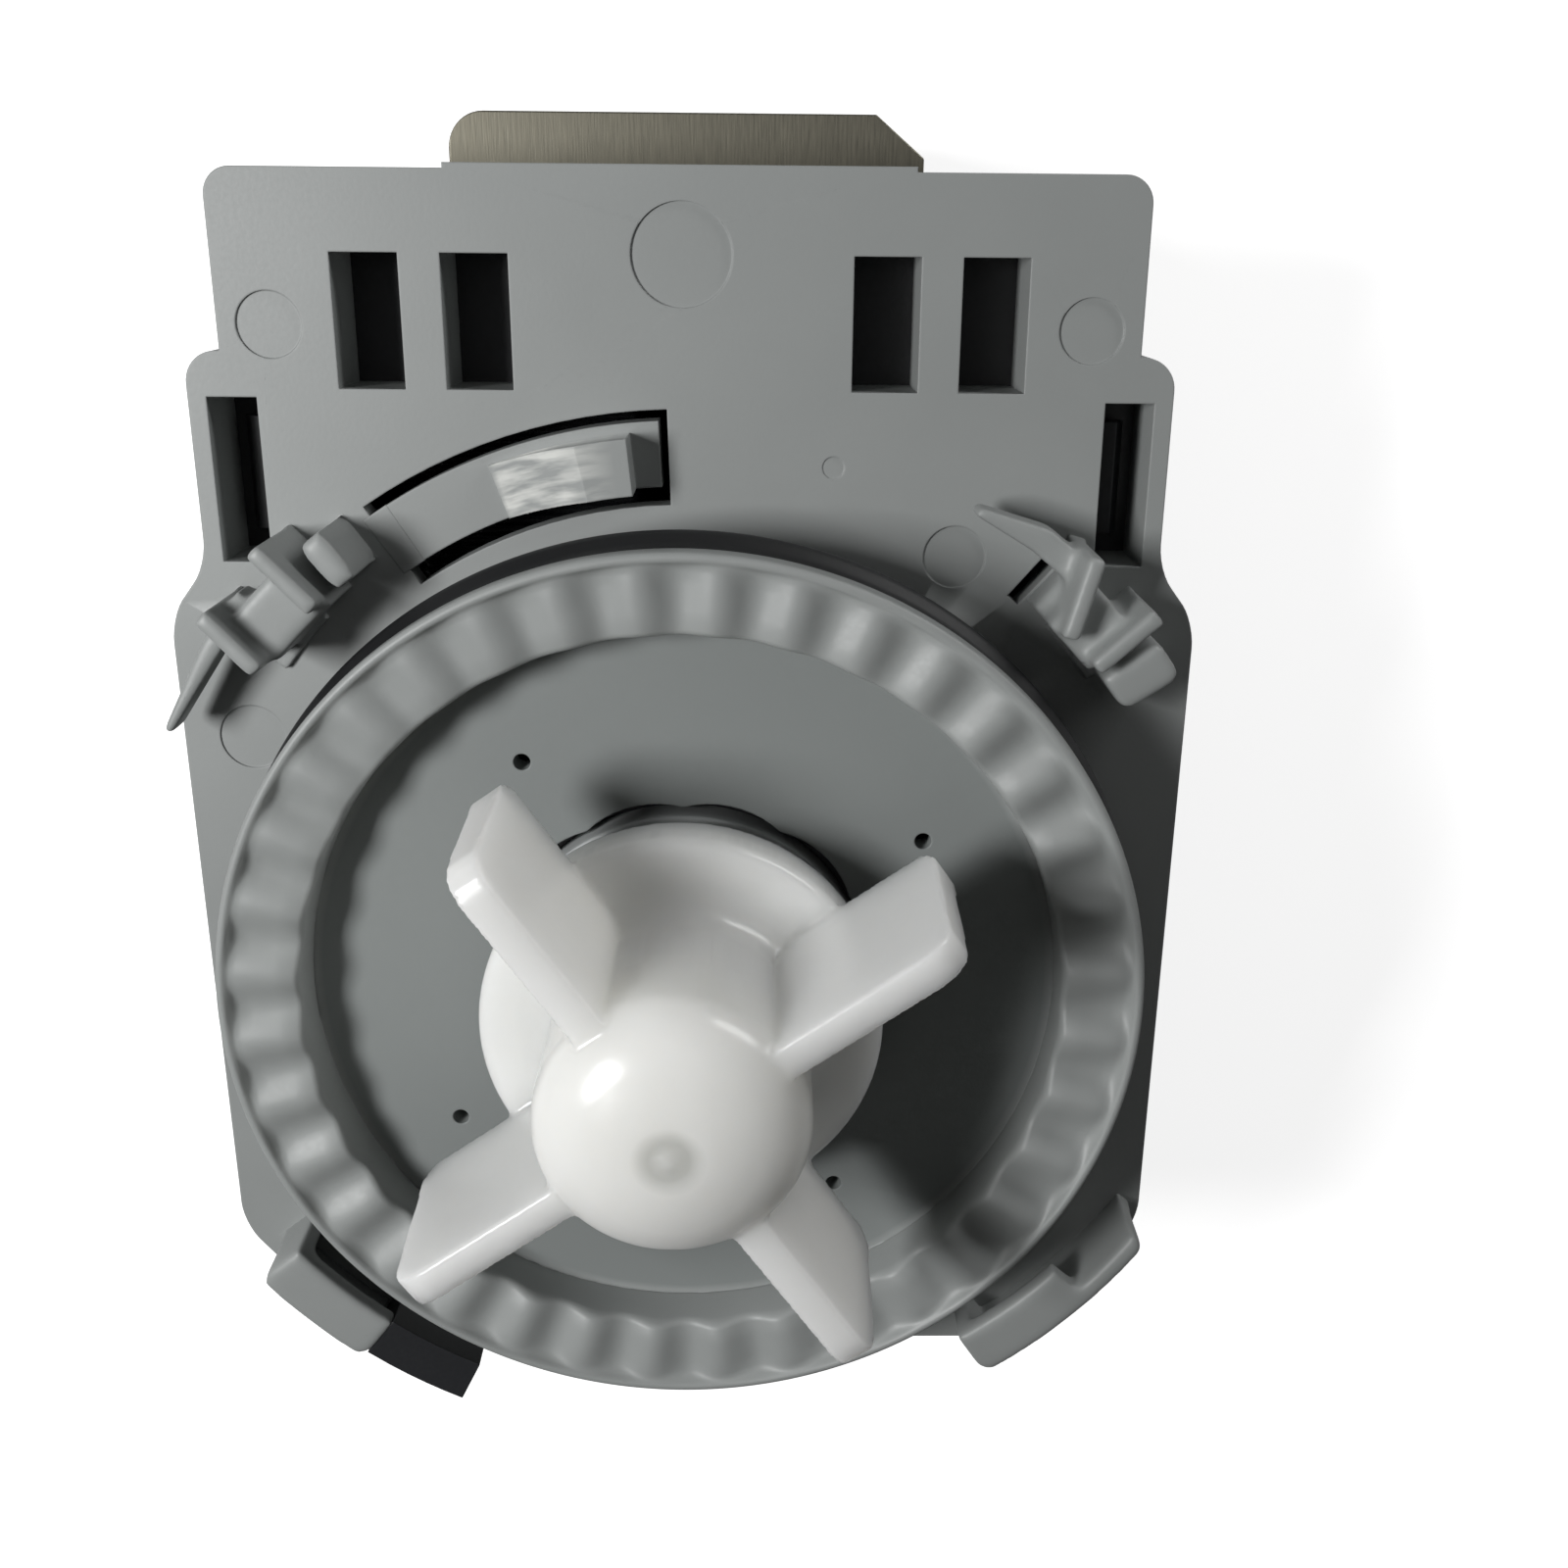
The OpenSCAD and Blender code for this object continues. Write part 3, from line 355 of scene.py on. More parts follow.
# Spigot ring.
# The front of the same grey moulding: a rounded lip, and inside it a band of
# 36 soft waves that grow towards the well, which let the bayonet be gripped.
wave_count = 36
wave_rise = 0.48 * mm
wave_start = math.radians(5)
ring_steps = 720
ring_profile = [
    (31.38, 8.6, 0), (31.38, 12.0, 0.4), (31.42, 12.45, 0.55), (31.6, 12.78, 0.7), (31.9, 12.95, 0.85),
    (33.4, 13.05, 1), (35.4, 13.15, 1), (36.4, 13.2, 0.85), (36.9, 13.3, 0.5), (37.15, 13.55, 0.15),
    (37.3, 13.8, 0), (37.5, 13.9, 0), (37.75, 13.85, 0), (37.93, 13.7, 0), (38.0, 13.45, 0),
    (38.0, 11.9, 0), (37.9, 11.68, 0), (37.7, 11.6, 0), (36.22, 11.6, 0), (36.22, 10.7, 0),
    (32.4, 10.7, 0), (32.4, 8.6, 0)]
ring = turned_piece("spigot_ring", [(r, z) for r, z, share in ring_profile], ring_steps, face_z)
wave_shares = [(r * mm, face_z + z * mm, share) for r, z, share in ring_profile if share]
for corner in ring.data.vertices:
    reach = corner.co.xy.length
    for r, z, share in wave_shares:
        if abs(reach - r) < 0.01 * mm and abs(corner.co.z - z) < 0.01 * mm:
            direction = math.atan2(corner.co.y, corner.co.x)
            corner.co.z += share * wave_rise * math.cos(wave_count * (direction - wave_start))
bpy.ops.object.shade_smooth_by_angle(angle=math.radians(50))
wear(ring, grey_plastic)
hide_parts("mounting_plate")
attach(ring, "housing")

# Latch arm.
# A tongue of the same moulding that a slot sets free on three sides; its
# sloped tooth snaps behind the sump's stop.
strokes_per_radian = 9
strokes_per_metre = 1150
arm = cad_copy("latch_arm", "latch_tongue")
round_edges(arm, 0.4 * mm, 3)
# The same plastic, scuffed white on the tooth where it has rubbed on the stop.
scuffed_plastic = moulded_plastic("scuffed_grey_polypropylene", "939695", "8b8e8d", 0.46)
scuff_place = add(scuffed_plastic, "ShaderNodeTexCoord").outputs["Object"]
scuff_parts, scuff_reach = from_axis(scuffed_plastic, scuff_place)
scuff_turn = add(scuffed_plastic, "ShaderNodeMath", {0: scuff_parts["Y"], 1: scuff_parts["X"]},
                 operation="ARCTAN2")


def scuff_product(first, second):
    """Two values of the scuffed plastic multiplied."""
    return add(scuffed_plastic, "ShaderNodeMath", {0: first, 1: second}, operation="MULTIPLY").outputs[0]


def scuff_ramp(value, zero, one):
    """A value of the scuffed plastic turned to 0 at one end and 1 at the other."""
    return add(scuffed_plastic, "ShaderNodeMapRange", {0: value, 1: zero, 2: one}).outputs[0]


scuff_polar = add(scuffed_plastic, "ShaderNodeCombineXYZ",
                  {"X": scuff_product(scuff_turn.outputs[0], strokes_per_radian),
                   "Y": scuff_product(scuff_reach, strokes_per_metre)})
scuff_marks = add(scuffed_plastic, "ShaderNodeTexNoise",
                  {"Vector": scuff_polar.outputs[0], "Scale": 1, "Detail": 3})
scuff_span = scuff_product(scuff_ramp(scuff_turn.outputs[0], math.radians(97), math.radians(103)),
                           scuff_ramp(scuff_turn.outputs[0], math.radians(111), math.radians(110)))
scuff_where = scuff_product(scuff_span, scuff_ramp(scuff_parts["Z"], face_z + 0.2 * mm, face_z + 0.7 * mm))
scuff_mask = scuff_product(scuff_where, scuff_ramp(scuff_marks.outputs[0], 0.38, 0.62))
scuff_tone = add(scuffed_plastic, "ShaderNodeMix",
                 {0: scuff_mask, 6: scuffed_plastic.node_tree.nodes["tone"].outputs[2], 7: colour("cbccc8")},
                 data_type="RGBA")
recolour(scuffed_plastic, scuff_tone)
wear(arm, scuffed_plastic)
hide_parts("latch_arm")
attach(arm, "latch")

# Latch root.
# The thin skin of the moulding where the tongue leaves the plate. It lies a
# hair proud of the face and covers the root's joint.
root_low_angle = 121.9
root_high_angle = 124.9
root_skin_low = -0.55
root_skin_high = 0.008
root_r_in = 40.75
root_r_out = 46.15
bpy.ops.object.select_all(action="DESELECT")
bpy.ops.mesh.primitive_cube_add(size=1, location=(0, 0, 0))
web = bpy.context.object
web.name = "latch_root_web"
for corner in web.data.vertices:
    turn = math.radians(root_high_angle if corner.co.y > 0 else root_low_angle)
    reach = (root_r_out if corner.co.x > 0 else root_r_in) * mm
    level = root_skin_high if corner.co.z > 0 else root_skin_low
    corner.co = Vector((reach * math.cos(turn), reach * math.sin(turn), face_z + level * mm))
bpy.ops.object.mode_set(mode="EDIT")
bpy.ops.mesh.select_all(action="SELECT")
bpy.ops.mesh.normals_make_consistent(inside=False)
bpy.ops.mesh.subdivide(number_cuts=6)
bpy.ops.object.mode_set(mode="OBJECT")
apply_modifier(web, "BEVEL", width=0.006 * mm, segments=1, limit_method="ANGLE")
bpy.ops.object.shade_smooth_by_angle(angle=math.radians(35))
wear(web, grey_plastic)
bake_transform(web)

# Spigot seal.
# A moulded ring of black nitrile rubber on the spigot's seat, with one round
# lip that the sump's opening presses down. It is stretched into its groove.
seal_profile = [
    (36.2, 0.3), (36.9, 0.2), (37.2, 0.4), (37.3, 5.4), (37.6, 5.9), (38.3, 6.7), (38.58, 7.2), (38.6, 7.7),
    (38.4, 8.1), (37.9, 8.6), (37.6, 9.2), (37.5, 11.0), (37.3, 11.35), (36.9, 11.4), (36.2, 11.4)]
seal = turned_piece("spigot_seal_ring", seal_profile, 256, face_z)
bpy.ops.object.shade_smooth_by_angle(angle=math.radians(40))
# Nitrile rubber: near black and almost matt, with a skin that shines a little.
black_rubber = moulded_plastic("black_nitrile_rubber", "101113", "0c0d0f", 0.5, grain=0.2, ior=1.52)
wear(seal, black_rubber)
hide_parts("spigot_seal")
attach(seal, "housing")

# Rotor can.
# A thin-walled cup of black glass-filled polybutylene that keeps the water off
# the stator. Its flange is welded under the well's floor.


def fitted_copy(node, name, edge, material, body):
    """A copy of a CAD node with rounded edges and its own material, in the node's place."""
    piece = cad_copy(node, name)
    round_edges(piece, edge, 2)
    wear(piece, material)
    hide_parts(node)
    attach(piece, body)
    return piece


# Black glass-filled plastic: satin, slightly grey where the fibres reach the skin.
black_plastic = moulded_plastic("black_glass_filled_polybutylene", "1d1e20", "26272a", 0.42,
                                grain=0.5, ior=1.55)
fitted_copy("rotor_can", "rotor_can_shell", 0.25 * mm, black_plastic, "housing")

# Rear bearing.
# A ground carbon bush in a ribbed rubber cushion at the can's closed end,
# pushed in before the rotor.


def speckled(name, hue, fleck, fleck_mm, roughness, coverage=0.62):
    """A pressed and ground body: one even tone with small flecks of another."""
    material = new_material(name)
    place = add(material, "ShaderNodeTexCoord").outputs["Object"]
    grains = add(material, "ShaderNodeTexNoise", {"Vector": place, "Scale": 1 / (fleck_mm * mm), "Detail": 3})
    mask = add(material, "ShaderNodeMapRange", {0: grains.outputs[0], 1: coverage, 2: coverage + 0.08})
    tone = add(material, "ShaderNodeMix", {0: mask.outputs[0], 6: colour(hue), 7: colour(fleck)},
               data_type="RGBA")
    gloss = add(material, "ShaderNodeMapRange",
                {0: grains.outputs[0], 3: roughness - 0.08, 4: roughness + 0.1})
    relief = add(material, "ShaderNodeBump",
                 {"Height": grains.outputs[0], "Distance": 0.02 * mm, "Strength": 0.4})
    shader = add(material, "ShaderNodeBsdfPrincipled",
                 {"Base Color": tone.outputs[2], "Roughness": gloss.outputs[0], "Normal": relief.outputs[0]})
    add(material, "ShaderNodeOutputMaterial", {"Surface": shader.outputs[0]})
    return material


def ribbed_cushion(node, name):
    """A rubber sleeve with three grip ribs round it, as wide and long as its CAD node."""
    low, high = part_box(node)
    bore = min(v.co.xy.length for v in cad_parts[node].data.vertices) / mm
    outer = (high.x - low.x) / 2 / mm
    length = (high.z - low.z) / mm
    profile = [(bore, 0.15), (bore, length - 0.15), (bore + 0.15, length), (outer - 0.5, length)]
    for rib in range(3):
        top = length - 0.3 - rib * (length - 0.6) / 3
        step = (length - 0.6) / 3
        profile += [(outer - 0.12, top), (outer, top - 0.2 * step), (outer, top - 0.5 * step),
                    (outer - 0.3, top - 0.7 * step), (outer - 0.3, top - 0.9 * step)]
    profile += [(outer - 0.12, 0.2), (outer - 0.5, 0), (bore + 0.15, 0)]
    piece = turned_piece(name, profile, 96, low.z)
    bpy.ops.object.shade_smooth_by_angle(angle=math.radians(40))
    wear(piece, black_rubber)
    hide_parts(node)
    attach(piece, "housing")


# Resin-bound carbon: dark, ground smooth, with graphite flecks that glint.
carbon = speckled("ground_carbon", "242427", "3c3c40", 0.08, 0.34)
fitted_copy("rear_bearing", "rear_bearing_bush", 0.2 * mm, carbon, "housing")
ribbed_cushion("rear_bearing_cushion", "rear_cushion_sleeve")

# Rotor magnet and carrier.
# A ring of sintered ferrite, magnetised across, on a moulded carrier that
# grips the shaft; two collars of the carrier hold its ends.

# Sintered ferrite: charcoal grey, ground on the outside, with fine pores.
ferrite = speckled("sintered_ferrite", "3a3b3f", "2a2b2e", 0.12, 0.5)
fitted_copy("rotor_magnet", "magnet_ring", 0.35 * mm, ferrite, "rotor")
# Natural glass-filled nylon: creamy, with a faint clouding of fibres.
natural_nylon = moulded_plastic("natural_glass_filled_nylon", "d8d3c0", "cbc5b0", 0.42, grain=0.5, ior=1.53)
fitted_copy("magnet_carrier", "magnet_carrier_moulding", 0.2 * mm, natural_nylon, "rotor")

# Rotor shaft.
# A stainless steel rod, ground between centres and chamfered at both ends. The
# magnet's carrier and the drive dog are pressed on it.


def bare_metal(name, hue, darker, roughness, draw, mark_mm, relief_height=0.4):
    """Bare or plated metal with fine marks drawn out along one direction."""
    material = new_material(name)
    place = add(material, "ShaderNodeTexCoord").outputs["Object"]
    drawn = add(material, "ShaderNodeMapping", {"Vector": place, "Scale": draw})
    marks = add(material, "ShaderNodeTexNoise",
                {"Vector": drawn.outputs[0], "Scale": 1 / (mark_mm * mm), "Detail": 4}, name="marks")
    tone = add(material, "ShaderNodeMix", {0: marks.outputs[0], 6: colour(darker), 7: colour(hue)},
               data_type="RGBA", name="tone")
    gloss = add(material, "ShaderNodeMapRange",
                {0: marks.outputs[0], 3: roughness - 0.1, 4: roughness + 0.12})
    soft_edge = add(material, "ShaderNodeBevel", {"Radius": 0.1 * mm}, samples=4)
    relief = add(material, "ShaderNodeBump",
                 {"Height": marks.outputs[0], "Distance": 0.02 * mm, "Strength": relief_height,
                  "Normal": soft_edge.outputs[0]}, name="relief")
    shader = add(material, "ShaderNodeBsdfPrincipled",
                 {"Base Color": tone.outputs[2], "Roughness": gloss.outputs[0], "Normal": relief.outputs[0],
                  "Metallic": 1}, name="shader")
    add(material, "ShaderNodeOutputMaterial", {"Surface": shader.outputs[0]})
    return material


# Ground stainless steel: bright, with hair-fine rings round the rod.
ground_steel = bare_metal("ground_stainless_steel", "c9cbcc", "b4b7b9", 0.24, (0.1, 0.1, 3), 0.2)
fitted_copy("rotor_shaft", "ground_shaft", 0.3 * mm, ground_steel, "rotor")

# Thrust washers.
# Two washers punched from phenolic paper sheet, one at each end of the
# carrier, which slide on the carbon bushes.
fibre_board = bare_metal("phenolic_fibre_board", "94693a", "7c552c", 0.55, (1, 0.15, 1), 0.15)
fibre_board.node_tree.nodes["shader"].inputs["Metallic"].default_value = 0
fitted_copy("front_thrust_washer", "front_washer", 0.08 * mm, fibre_board, "rotor")
fitted_copy("rear_thrust_washer", "rear_washer", 0.08 * mm, fibre_board, "rotor")

# Front bearing and holder.
# A light grey moulded plug closes the can behind the impeller. It holds the
# front carbon bush in a rubber cushion and carries an O-ring in its groove.
light_grey_plastic = moulded_plastic("light_grey_polypropylene", "a3a6a6", "9b9e9e", 0.44)
fitted_copy("front_bearing_holder", "bearing_holder_plug", 0.25 * mm, light_grey_plastic,
            "housing")
fitted_copy("front_bearing", "front_bearing_bush", 0.2 * mm, carbon, "housing")
ribbed_cushion("front_bearing_cushion", "front_cushion_sleeve")
ring_low, ring_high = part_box("holder_o_ring")
cord_r = (ring_high.z - ring_low.z) / 2
bpy.ops.object.select_all(action="DESELECT")
bpy.ops.mesh.primitive_torus_add(major_radius=ring_high.x - cord_r, minor_radius=cord_r, major_segments=128,
                                 minor_segments=24, location=(0, 0, (ring_low.z + ring_high.z) / 2))
o_ring = bpy.context.object
o_ring.name = "holder_o_ring_cord"
bpy.ops.object.transform_apply(location=True)
select_edges(o_ring, lambda a, b: abs(a.z - b.z) < 1e-7 and abs(a.z - (ring_low.z + ring_high.z) / 2) < 1e-6
             and a.xy.length > ring_high.x - cord_r)
# The thin parting line that the two halves of the ring's tool leave outside.
bpy.ops.mesh.bevel(offset=0.05 * mm, segments=2)
bpy.ops.object.mode_set(mode="OBJECT")
bpy.ops.object.shade_smooth()
wear(o_ring, black_rubber)
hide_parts("holder_o_ring")
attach(o_ring, "housing")

# Drive dog and pads.
# A nylon dog pressed on the shaft drives the impeller after a free turn; two
# rubber pads on its flanks soften the blow.
fitted_copy("drive_dog", "dog_moulding", 0.25 * mm, natural_nylon, "rotor")
pads = cad_copy("dog_pads", "dog_pad_pair")
pads.data.remesh_voxel_size = 0.14 * mm
bpy.ops.object.voxel_remesh()
apply_modifier(pads, "SMOOTH", factor=0.5, iterations=5)
bpy.ops.object.shade_smooth()
wear(pads, black_rubber)
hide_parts("dog_pads")
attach(pads, "rotor")

# Impeller.
# One moulding of white acetal: a disc, a domed hub and four straight blades,
# with the soft inner corners and edges that acetal needs to fill its tool.
impeller_voxel = 0.3 * mm
nose_r = 10.2 * mm
nose_h = 5.8 * mm
nose_top = face_z + 36.4 * mm
nose_cut = 1 * mm
nose_zone = 6.7 * mm
nose_below_cad = 0.04 * mm
gate_r = 1.4 * mm
gate_deep = 0.28 * mm
pip_h = 0.16 * mm
impeller = cad_copy("impeller", "impeller_moulding", join_faces=False)
bpy.ops.object.mode_set(mode="EDIT")
bpy.ops.mesh.select_all(action="SELECT")
bpy.ops.mesh.bisect(plane_co=(0, 0, nose_top - nose_cut), plane_no=(0, 0, 1), clear_outer=True, use_fill=True)
bpy.ops.object.mode_set(mode="OBJECT")
impeller.data.remesh_voxel_size = impeller_voxel
bpy.ops.object.voxel_remesh()
apply_modifier(impeller, "SMOOTH", factor=0.5, iterations=6)
for corner in impeller.data.vertices:
    reach = corner.co.xy.length
    if reach < nose_zone and corner.co.z > nose_top - 2 * mm:
        dome = nose_top - nose_h * (1 - math.sqrt(1 - (reach / nose_r) ** 2))
        groove = gate_deep * math.exp(-((reach - gate_r) / (0.8 * mm)) ** 2)
        pip = pip_h * math.exp(-(reach / (0.5 * mm)) ** 2)
        share = min(1, (nose_zone - reach) / (0.6 * mm))
        corner.co.z += share * (dome - groove + pip - nose_below_cad - corner.co.z)
bpy.ops.object.shade_smooth()
# White acetal: milky, so light goes some millimetres into it, with a waxy gloss.
# Round the gate on the hub's top the colour is painted darker: painted shade of the gate's shallow dimple.
white_acetal = new_material("white_acetal")
acetal_place = add(white_acetal, "ShaderNodeTexCoord").outputs["Object"]
acetal_parts, acetal_reach = from_axis(white_acetal, acetal_place)
# Painted shade: a darker ring of colour round the gate's dimple.
gate_shade_share = add(white_acetal, "ShaderNodeMapRange",
                 {0: acetal_reach, 1: 2.7 * mm, 2: 1.5 * mm, 3: 0, 4: 0.6})
acetal_cloud = add(white_acetal, "ShaderNodeTexNoise", {"Vector": acetal_place, "Scale": 120, "Detail": 3})
acetal_tone = add(white_acetal, "ShaderNodeMix",
                  {0: acetal_cloud.outputs[0], 6: colour("dadad6"), 7: colour("e2e2df")}, data_type="RGBA")
acetal_gate_shade = add(white_acetal, "ShaderNodeMix",
                  {0: gate_shade_share.outputs[0], 6: acetal_tone.outputs[2], 7: colour("b2b3af")},
                  data_type="RGBA")
acetal_skin = add(white_acetal, "ShaderNodeTexNoise", {"Vector": acetal_place, "Scale": 700, "Detail": 2})
acetal_relief = add(white_acetal, "ShaderNodeBump",
                    {"Height": acetal_skin.outputs[0], "Distance": 0.02 * mm, "Strength": 0.25})
acetal = add(white_acetal, "ShaderNodeBsdfPrincipled",
             {"Base Color": acetal_gate_shade.outputs[2], "Roughness": 0.25, "IOR": 1.48,
              "Normal": acetal_relief.outputs[0], "Subsurface Weight": 1,
              "Subsurface Radius": (1, 0.97, 0.93), "Subsurface Scale": 0.013})
add(white_acetal, "ShaderNodeOutputMaterial", {"Surface": acetal.outputs[0]})
wear(impeller, white_acetal)
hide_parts("impeller")
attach(impeller, "impeller")
# The plug that is welded into the hub's back once the dog is in.
fitted_copy("impeller_hub_plug", "hub_plug", 0.2 * mm, white_acetal, "impeller")

# Stator core.
# A stack of 0.5 mm silicon-steel laminations, punched as a U with one round
# and one cut corner, and held by three rivets. Only its yoke shows.
# Electrical steel: a dull greenish coat over rolling marks that run up the
# yoke; on its sides the sheets show as fine lines, drawn 0.7 mm apart to show.
lamination_steel = bare_metal("coated_electrical_steel", "837f72", "6c6a60", 0.5, (1, 0.06, 0.4), 0.16, 0.5)
core_place = add(lamination_steel, "ShaderNodeTexCoord").outputs["Object"]
sheets = add(lamination_steel, "ShaderNodeTexWave", {"Vector": core_place, "Scale": 449, "Distortion": 0.6},
             bands_direction="Z")
sheet_tone = add(lamination_steel, "ShaderNodeMapRange", {0: sheets.outputs[1], 1: 0, 2: 0.35, 3: 0.55, 4: 1})
core_tone = add(lamination_steel, "ShaderNodeMix",
                {0: 1, 6: lamination_steel.node_tree.nodes["tone"].outputs[2], 7: sheet_tone.outputs[0]},
                data_type="RGBA", blend_type="MULTIPLY")
core_relief = add(lamination_steel, "ShaderNodeBump",
                  {"Height": sheets.outputs[1], "Distance": 0.08 * mm, "Strength": 0.5,
                   "Normal": lamination_steel.node_tree.nodes["relief"].outputs[0]})
recolour(lamination_steel, core_tone)
lamination_steel.node_tree.links.new(core_relief.outputs[0],
                                     lamination_steel.node_tree.nodes["shader"].inputs["Normal"])
fitted_copy("stator_core", "lamination_stack", 0.12 * mm, lamination_steel, "housing")

# Rivets.
# Three tubular rivets of zinc-plated steel through the stack's yoke, with heads
# set flat on both sides.
# Zinc plate: pale bluish silver, slightly spangled.
zinc_steel = bare_metal("zinc_plated_steel", "c2c5c6", "a7abad", 0.34, (1, 1, 1), 0.35)
fitted_copy("core_rivets", "rivet_set", 0.3 * mm, zinc_steel, "housing")

# Bobbins.
# Two flanged formers of natural glass-filled nylon, slid on the legs. The
# right one carries the block with the terminals.
fitted_copy("left_bobbin", "left_former", 0.25 * mm, natural_nylon, "housing")
fitted_copy("right_bobbin", "right_former", 0.25 * mm, natural_nylon, "housing")

# Windings.
# Enamelled copper wire, layer-wound on the formers. The wires are drawn as
# 0.9 mm ridges, coarser than the real 0.25 mm, so that they can be seen.
wire_pitch = 0.9 * mm
half_bore = Vector((7.2 * mm, 0, 11.2 * mm))


def wound_piece(name, inner, outer, ridge):
    """A winding round a leg: a rounded frame stepped along the leg, a ridge for each turn."""
    middle = (outer[0] + outer[1]) / 2
    half = (outer[1] - outer[0]) / 2
    bore = (inner[1] - inner[0]) / 2
    bpy.ops.object.select_all(action="DESELECT")
    bpy.ops.mesh.primitive_plane_add(size=2, location=(0, 0, 0))
    piece = bpy.context.object
    piece.name = name
    for corner in piece.data.vertices:
        corner.co = Vector((corner.co.x * (half.x - ridge), outer[0].y, corner.co.y * (half.z - ridge)))
    bpy.ops.object.mode_set(mode="EDIT")
    bpy.ops.mesh.select_all(action="SELECT")
    bpy.ops.mesh.bevel(offset=1.1 * mm, segments=5, affect="VERTICES")
    bpy.ops.mesh.delete(type="ONLY_FACE")
    bpy.ops.mesh.select_mode(type="VERT")
    bpy.ops.mesh.select_all(action="SELECT")
    bpy.ops.object.mode_set(mode="OBJECT")
    steps = len(piece.data.vertices)
    turns = round((outer[1].y - outer[0].y) / wire_pitch)
    turn_w = (outer[1].y - outer[0].y) / turns
    rings = [(0, 0)]
    for turn in range(turns):
        for along, rise in ((0.15, 0.75), (0.5, 1), (0.85, 0.75), (1, 0)):
            rings.append(((turn + along) * turn_w, ridge * rise))
    wide = half.x - ridge
    deep = half.z - ridge
    for before, after in zip(rings, rings[1:]):
        bpy.ops.object.mode_set(mode="EDIT")
        bpy.ops.mesh.select_all(action="DESELECT")
        bpy.ops.object.mode_set(mode="OBJECT")
        for corner in list(piece.data.vertices)[-steps:]:
            corner.select = True
        bpy.ops.object.mode_set(mode="EDIT")
        bpy.ops.mesh.extrude_edges_move()
        bpy.ops.transform.resize(value=((wide + after[1]) / (wide + before[1]), 1,
                                        (deep + after[1]) / (deep + before[1])), center_override=(0, 0, 0))
        bpy.ops.transform.translate(value=(0, after[0] - before[0], 0))
    for end in (1, 0):
        bpy.ops.mesh.select_all(action="DESELECT")
        bpy.ops.object.mode_set(mode="OBJECT")
        for corner in (list(piece.data.vertices)[-steps:] if end else list(piece.data.vertices)[:steps]):
            corner.select = True
        bpy.ops.object.mode_set(mode="EDIT")
        bpy.ops.mesh.extrude_edges_move()
        bpy.ops.transform.resize(value=(bore.x / wide, 1, bore.z / deep), center_override=(0, 0, 0))
    bpy.ops.mesh.select_all(action="DESELECT")
    bpy.ops.object.mode_set(mode="OBJECT")
    for corner in list(piece.data.vertices)[-2 * steps:]:
        corner.select = True
    bpy.ops.object.mode_set(mode="EDIT")
    bpy.ops.mesh.bridge_edge_loops()
    bpy.ops.mesh.select_all(action="SELECT")
    bpy.ops.mesh.remove_doubles(threshold=0.001 * mm)
    bpy.ops.mesh.normals_make_consistent(inside=False)
    bpy.ops.transform.translate(value=(middle.x, 0, middle.z))
    bpy.ops.object.mode_set(mode="OBJECT")
    bpy.ops.object.shade_smooth_by_angle(angle=math.radians(60))
    return piece


# Enamelled copper: a clear amber lacquer over bright wire.
copper_wire = bare_metal("enamelled_copper_wire", "b96a35", "93502a", 0.3, (1, 6, 1), 0.5)
copper_wire.node_tree.nodes["shader"].inputs["Coat Weight"].default_value = 0.6
# Polyester tape: glossy film pulled smooth over the wires, coloured near black so that what shows through the
# plate's slot is dark: painted shade.
tape_dark_as_shade = bare_metal("polyester_tape_dark_as_shade", "202123", "17181a", 0.26, (1, 4, 1), 0.6)
tape_dark_as_shade.node_tree.nodes["shader"].inputs["Metallic"].default_value = 0
for side in ("left", "right"):
    coil_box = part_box(side + "_coil")
    tape_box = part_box(side + "_coil_tape")
    coil_middle = (coil_box[0] + coil_box[1]) / 2
    bore_box = (coil_middle - half_bore, coil_middle + half_bore)
    wire = wound_piece(side + "_winding", bore_box, coil_box, 0.2 * mm)
    wear(wire, copper_wire)
    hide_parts(side + "_coil")
    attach(wire, "housing")
    half_wire = (coil_box[1] - coil_box[0]) / 2
    wire_box = (coil_middle - half_wire, coil_middle + half_wire)
    tape = wound_piece(side + "_tape_wrap", wire_box, tape_box, 0.1 * mm)
    wear(tape, tape_dark_as_shade)
    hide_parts(side + "_coil_tape")
    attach(tape, "housing")

# Thermal protector.
# A small cut-out in a moulded phenolic case that lies on the left winding, and
# stops the motor when the winding gets too hot.
protector_black = moulded_plastic("dark_blue_phenolic", "24323f", "1d2934", 0.3, ior=1.58)
fitted_copy("thermal_protector", "thermal_cut_out", 0.5 * mm, protector_black, "housing")

# Terminals.
# Two 6.3 mm blades stamped from tinned brass strip, pushed into the block of
# the right bobbin.
# Tinned brass: a pale warm silver, with faint stamping marks along the blade.
tinned_brass = bare_metal("tinned_brass", "d3ccb6", "beb498", 0.3, (1, 0.15, 1), 0.2)
fitted_copy("terminal_blades", "spade_pair", 0.12 * mm, tinned_brass, "housing")

# Motor cover.
# A deep cap of black glass-filled polybutylene over the stator, hooked under
# the plate and held by two screws. Its back has a sunk panel with three ribs.
cover = cad_copy("rear_cover", "motor_cover")
# The front end of the lower hook flares a little towards the lug beside it.
hook_flare = 0.012
for corner in cover.data.vertices:
    turn = math.atan2(corner.co.y, corner.co.x) % (2 * math.pi)
    if corner.co.z > face_z + 5 * mm and abs(turn - math.radians(233)) < math.radians(0.1):
        turn -= hook_flare
        corner.co.xy = Vector((math.cos(turn), math.sin(turn))) * corner.co.xy.length
panel_depth = 0.5 * mm


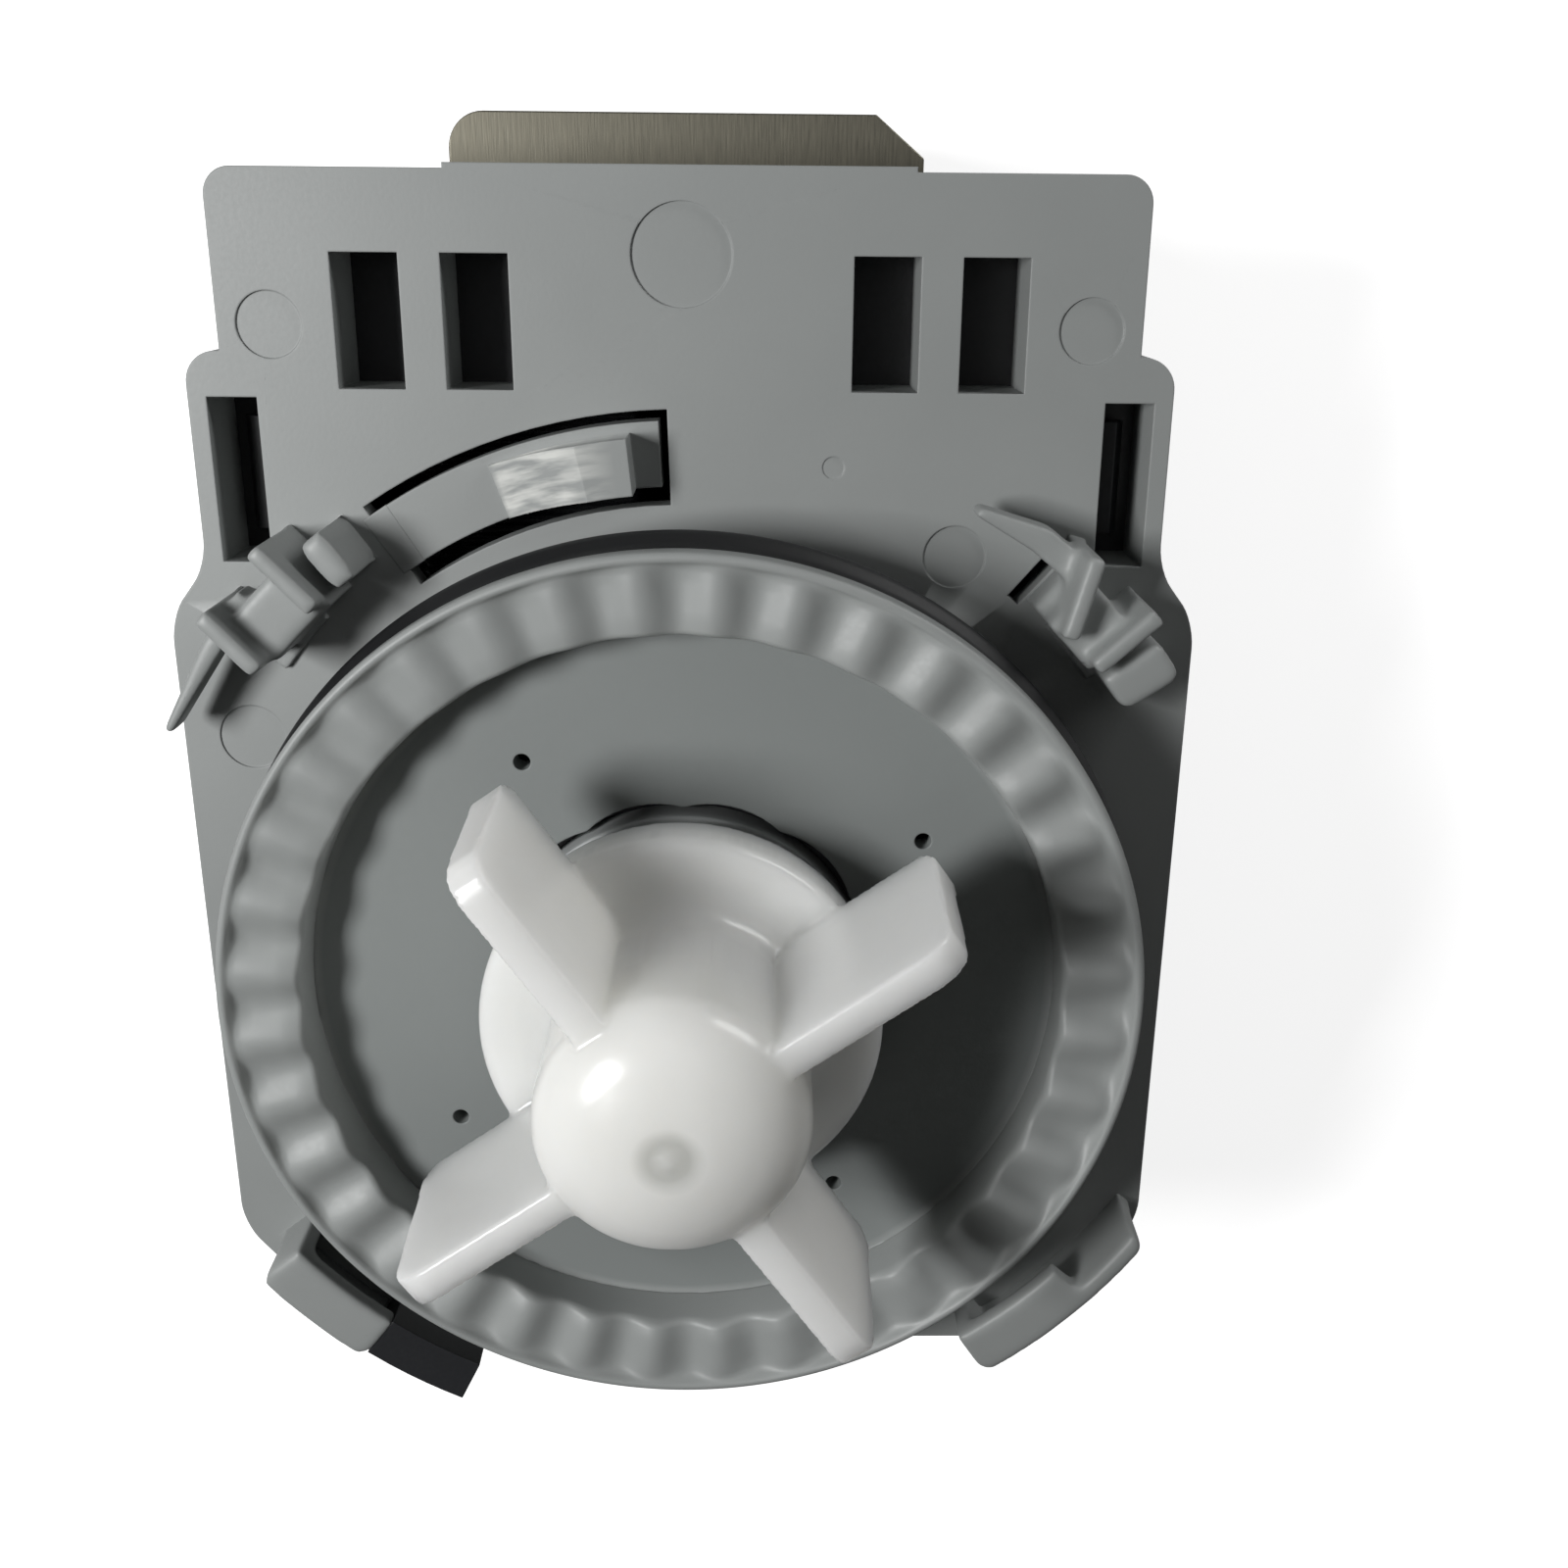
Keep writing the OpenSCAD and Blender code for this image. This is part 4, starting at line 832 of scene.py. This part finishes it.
def back_block(x, y, width, depth, height):
    """A block that lies across the cover's back face, to cut with."""
    bpy.ops.object.select_all(action="DESELECT")
    bpy.ops.mesh.primitive_cube_add(size=1, location=(0, 0, 0))
    bpy.ops.transform.resize(value=(width * mm, depth * mm, height))
    bpy.ops.transform.translate(value=(x * mm, y * mm, 0))
    bpy.ops.object.transform_apply(location=True, scale=True)
    return bpy.context.object


panel = back_block(0, 23.5, 34, 29, 2 * panel_depth)
select_edges(panel, lambda a, b: abs(a.z - b.z) > panel_depth)
bpy.ops.mesh.bevel(offset=3 * mm, segments=6)
bpy.ops.object.mode_set(mode="OBJECT")
for x in (-9, 0, 9):
    combine(panel, back_block(x, 23.5, 1.4, 22, 4 * panel_depth), "DIFFERENCE")
combine(cover, panel, "DIFFERENCE")
for x, y, r in ((0, -17, 3.2), (-20, 44, 2.4), (20, 44, 2.4), (-22, 0, 2.4), (22, 0, 2.4), (0, 0, 1.4)):
    sink_disc(cover, x, y, 0, r, 0.2, 64)


def cover_edge_share(a, b):
    """How round an edge of the cover is: its back's outline and long upright corners most."""
    on_back = max(abs(a.z), abs(b.z)) < 0.01 * mm and a.xy.length > 27 * mm
    return 1 if on_back or abs(a.z - b.z) > 8 * mm else 0.25


round_edges(cover, 0.5 * mm, 3, cover_edge_share)
wear(cover, black_plastic)
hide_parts("rear_cover")
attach(cover, "housing")

# Cover screws.
# Two zinc-plated thread-forming screws with a pressed socket in the head. They
# hold the cover's ears to the plate.
fitted_copy("cover_screws", "cover_screw_pair", 0.25 * mm, zinc_steel, "housing")

# Floor and light.
# A white bench top that shows pure white but keeps the shadow, a window-like
# lamp from the left, a low weak one from the right and a faint fill.
bpy.ops.object.select_all(action="DESELECT")
bpy.ops.mesh.primitive_plane_add(size=6, location=(0, 0, -0.2 * mm))
floor = bpy.context.object
floor.name = "bench_top"
floor_paint = new_material("white_bench_paint")
bench_seen = add(floor_paint, "ShaderNodeLightPath")
bench_matt = add(floor_paint, "ShaderNodeBsdfDiffuse", {"Color": colour("d8d8d8")})
bench_white = add(floor_paint, "ShaderNodeEmission", {"Color": colour("ffffff"), "Strength": 0.8})
bench_both = add(floor_paint, "ShaderNodeAddShader", {0: bench_matt.outputs[0], 1: bench_white.outputs[0]})
bench_mix = add(floor_paint, "ShaderNodeMixShader",
                {0: bench_seen.outputs["Is Camera Ray"], 1: bench_matt.outputs[0], 2: bench_both.outputs[0]})
add(floor_paint, "ShaderNodeOutputMaterial", {"Surface": bench_mix.outputs[0]})
wear(floor, floor_paint)

world = bpy.data.worlds.new("studio")
bpy.context.scene.world = world
world.use_nodes = True
world.node_tree.nodes.clear()
sky_seen = add(world, "ShaderNodeLightPath")
sky_dim = add(world, "ShaderNodeBackground", {"Color": colour("ffffff"), "Strength": 0.04})
sky_white = add(world, "ShaderNodeBackground", {"Color": colour("ffffff"), "Strength": 1})
sky_mix = add(world, "ShaderNodeMixShader",
              {0: sky_seen.outputs["Is Camera Ray"], 1: sky_dim.outputs[0], 2: sky_white.outputs[0]})
add(world, "ShaderNodeOutputWorld", {"Surface": sky_mix.outputs[0]})


def lamp(name, direction, height, distance, width, depth, power):
    """A soft oblong lamp that shines at the plate from a direction and height in degrees."""
    data = bpy.data.lights.new(name, "AREA")
    data.shape = "RECTANGLE"
    data.size = width
    data.size_y = depth
    data.energy = power
    light = bpy.data.objects.new(name, data)
    bpy.context.scene.collection.objects.link(light)
    aim = Vector((0, 5 * mm, face_z))
    turn, rise = math.radians(direction), math.radians(height)
    level = math.cos(rise)
    light.location = aim + distance * Vector((level * math.cos(turn), level * math.sin(turn), math.sin(rise)))
    light.rotation_euler = (aim - light.location).to_track_quat("-Z", "Y").to_euler()


lamp("key_lamp", 163, 50, 320 * mm, 110 * mm, 75 * mm, 0.98)
lamp("low_lamp", 48, 9, 300 * mm, 160 * mm, 50 * mm, 0.27)
lamp("fill_lamp", 90, 62, 420 * mm, 260 * mm, 260 * mm, 0.03)
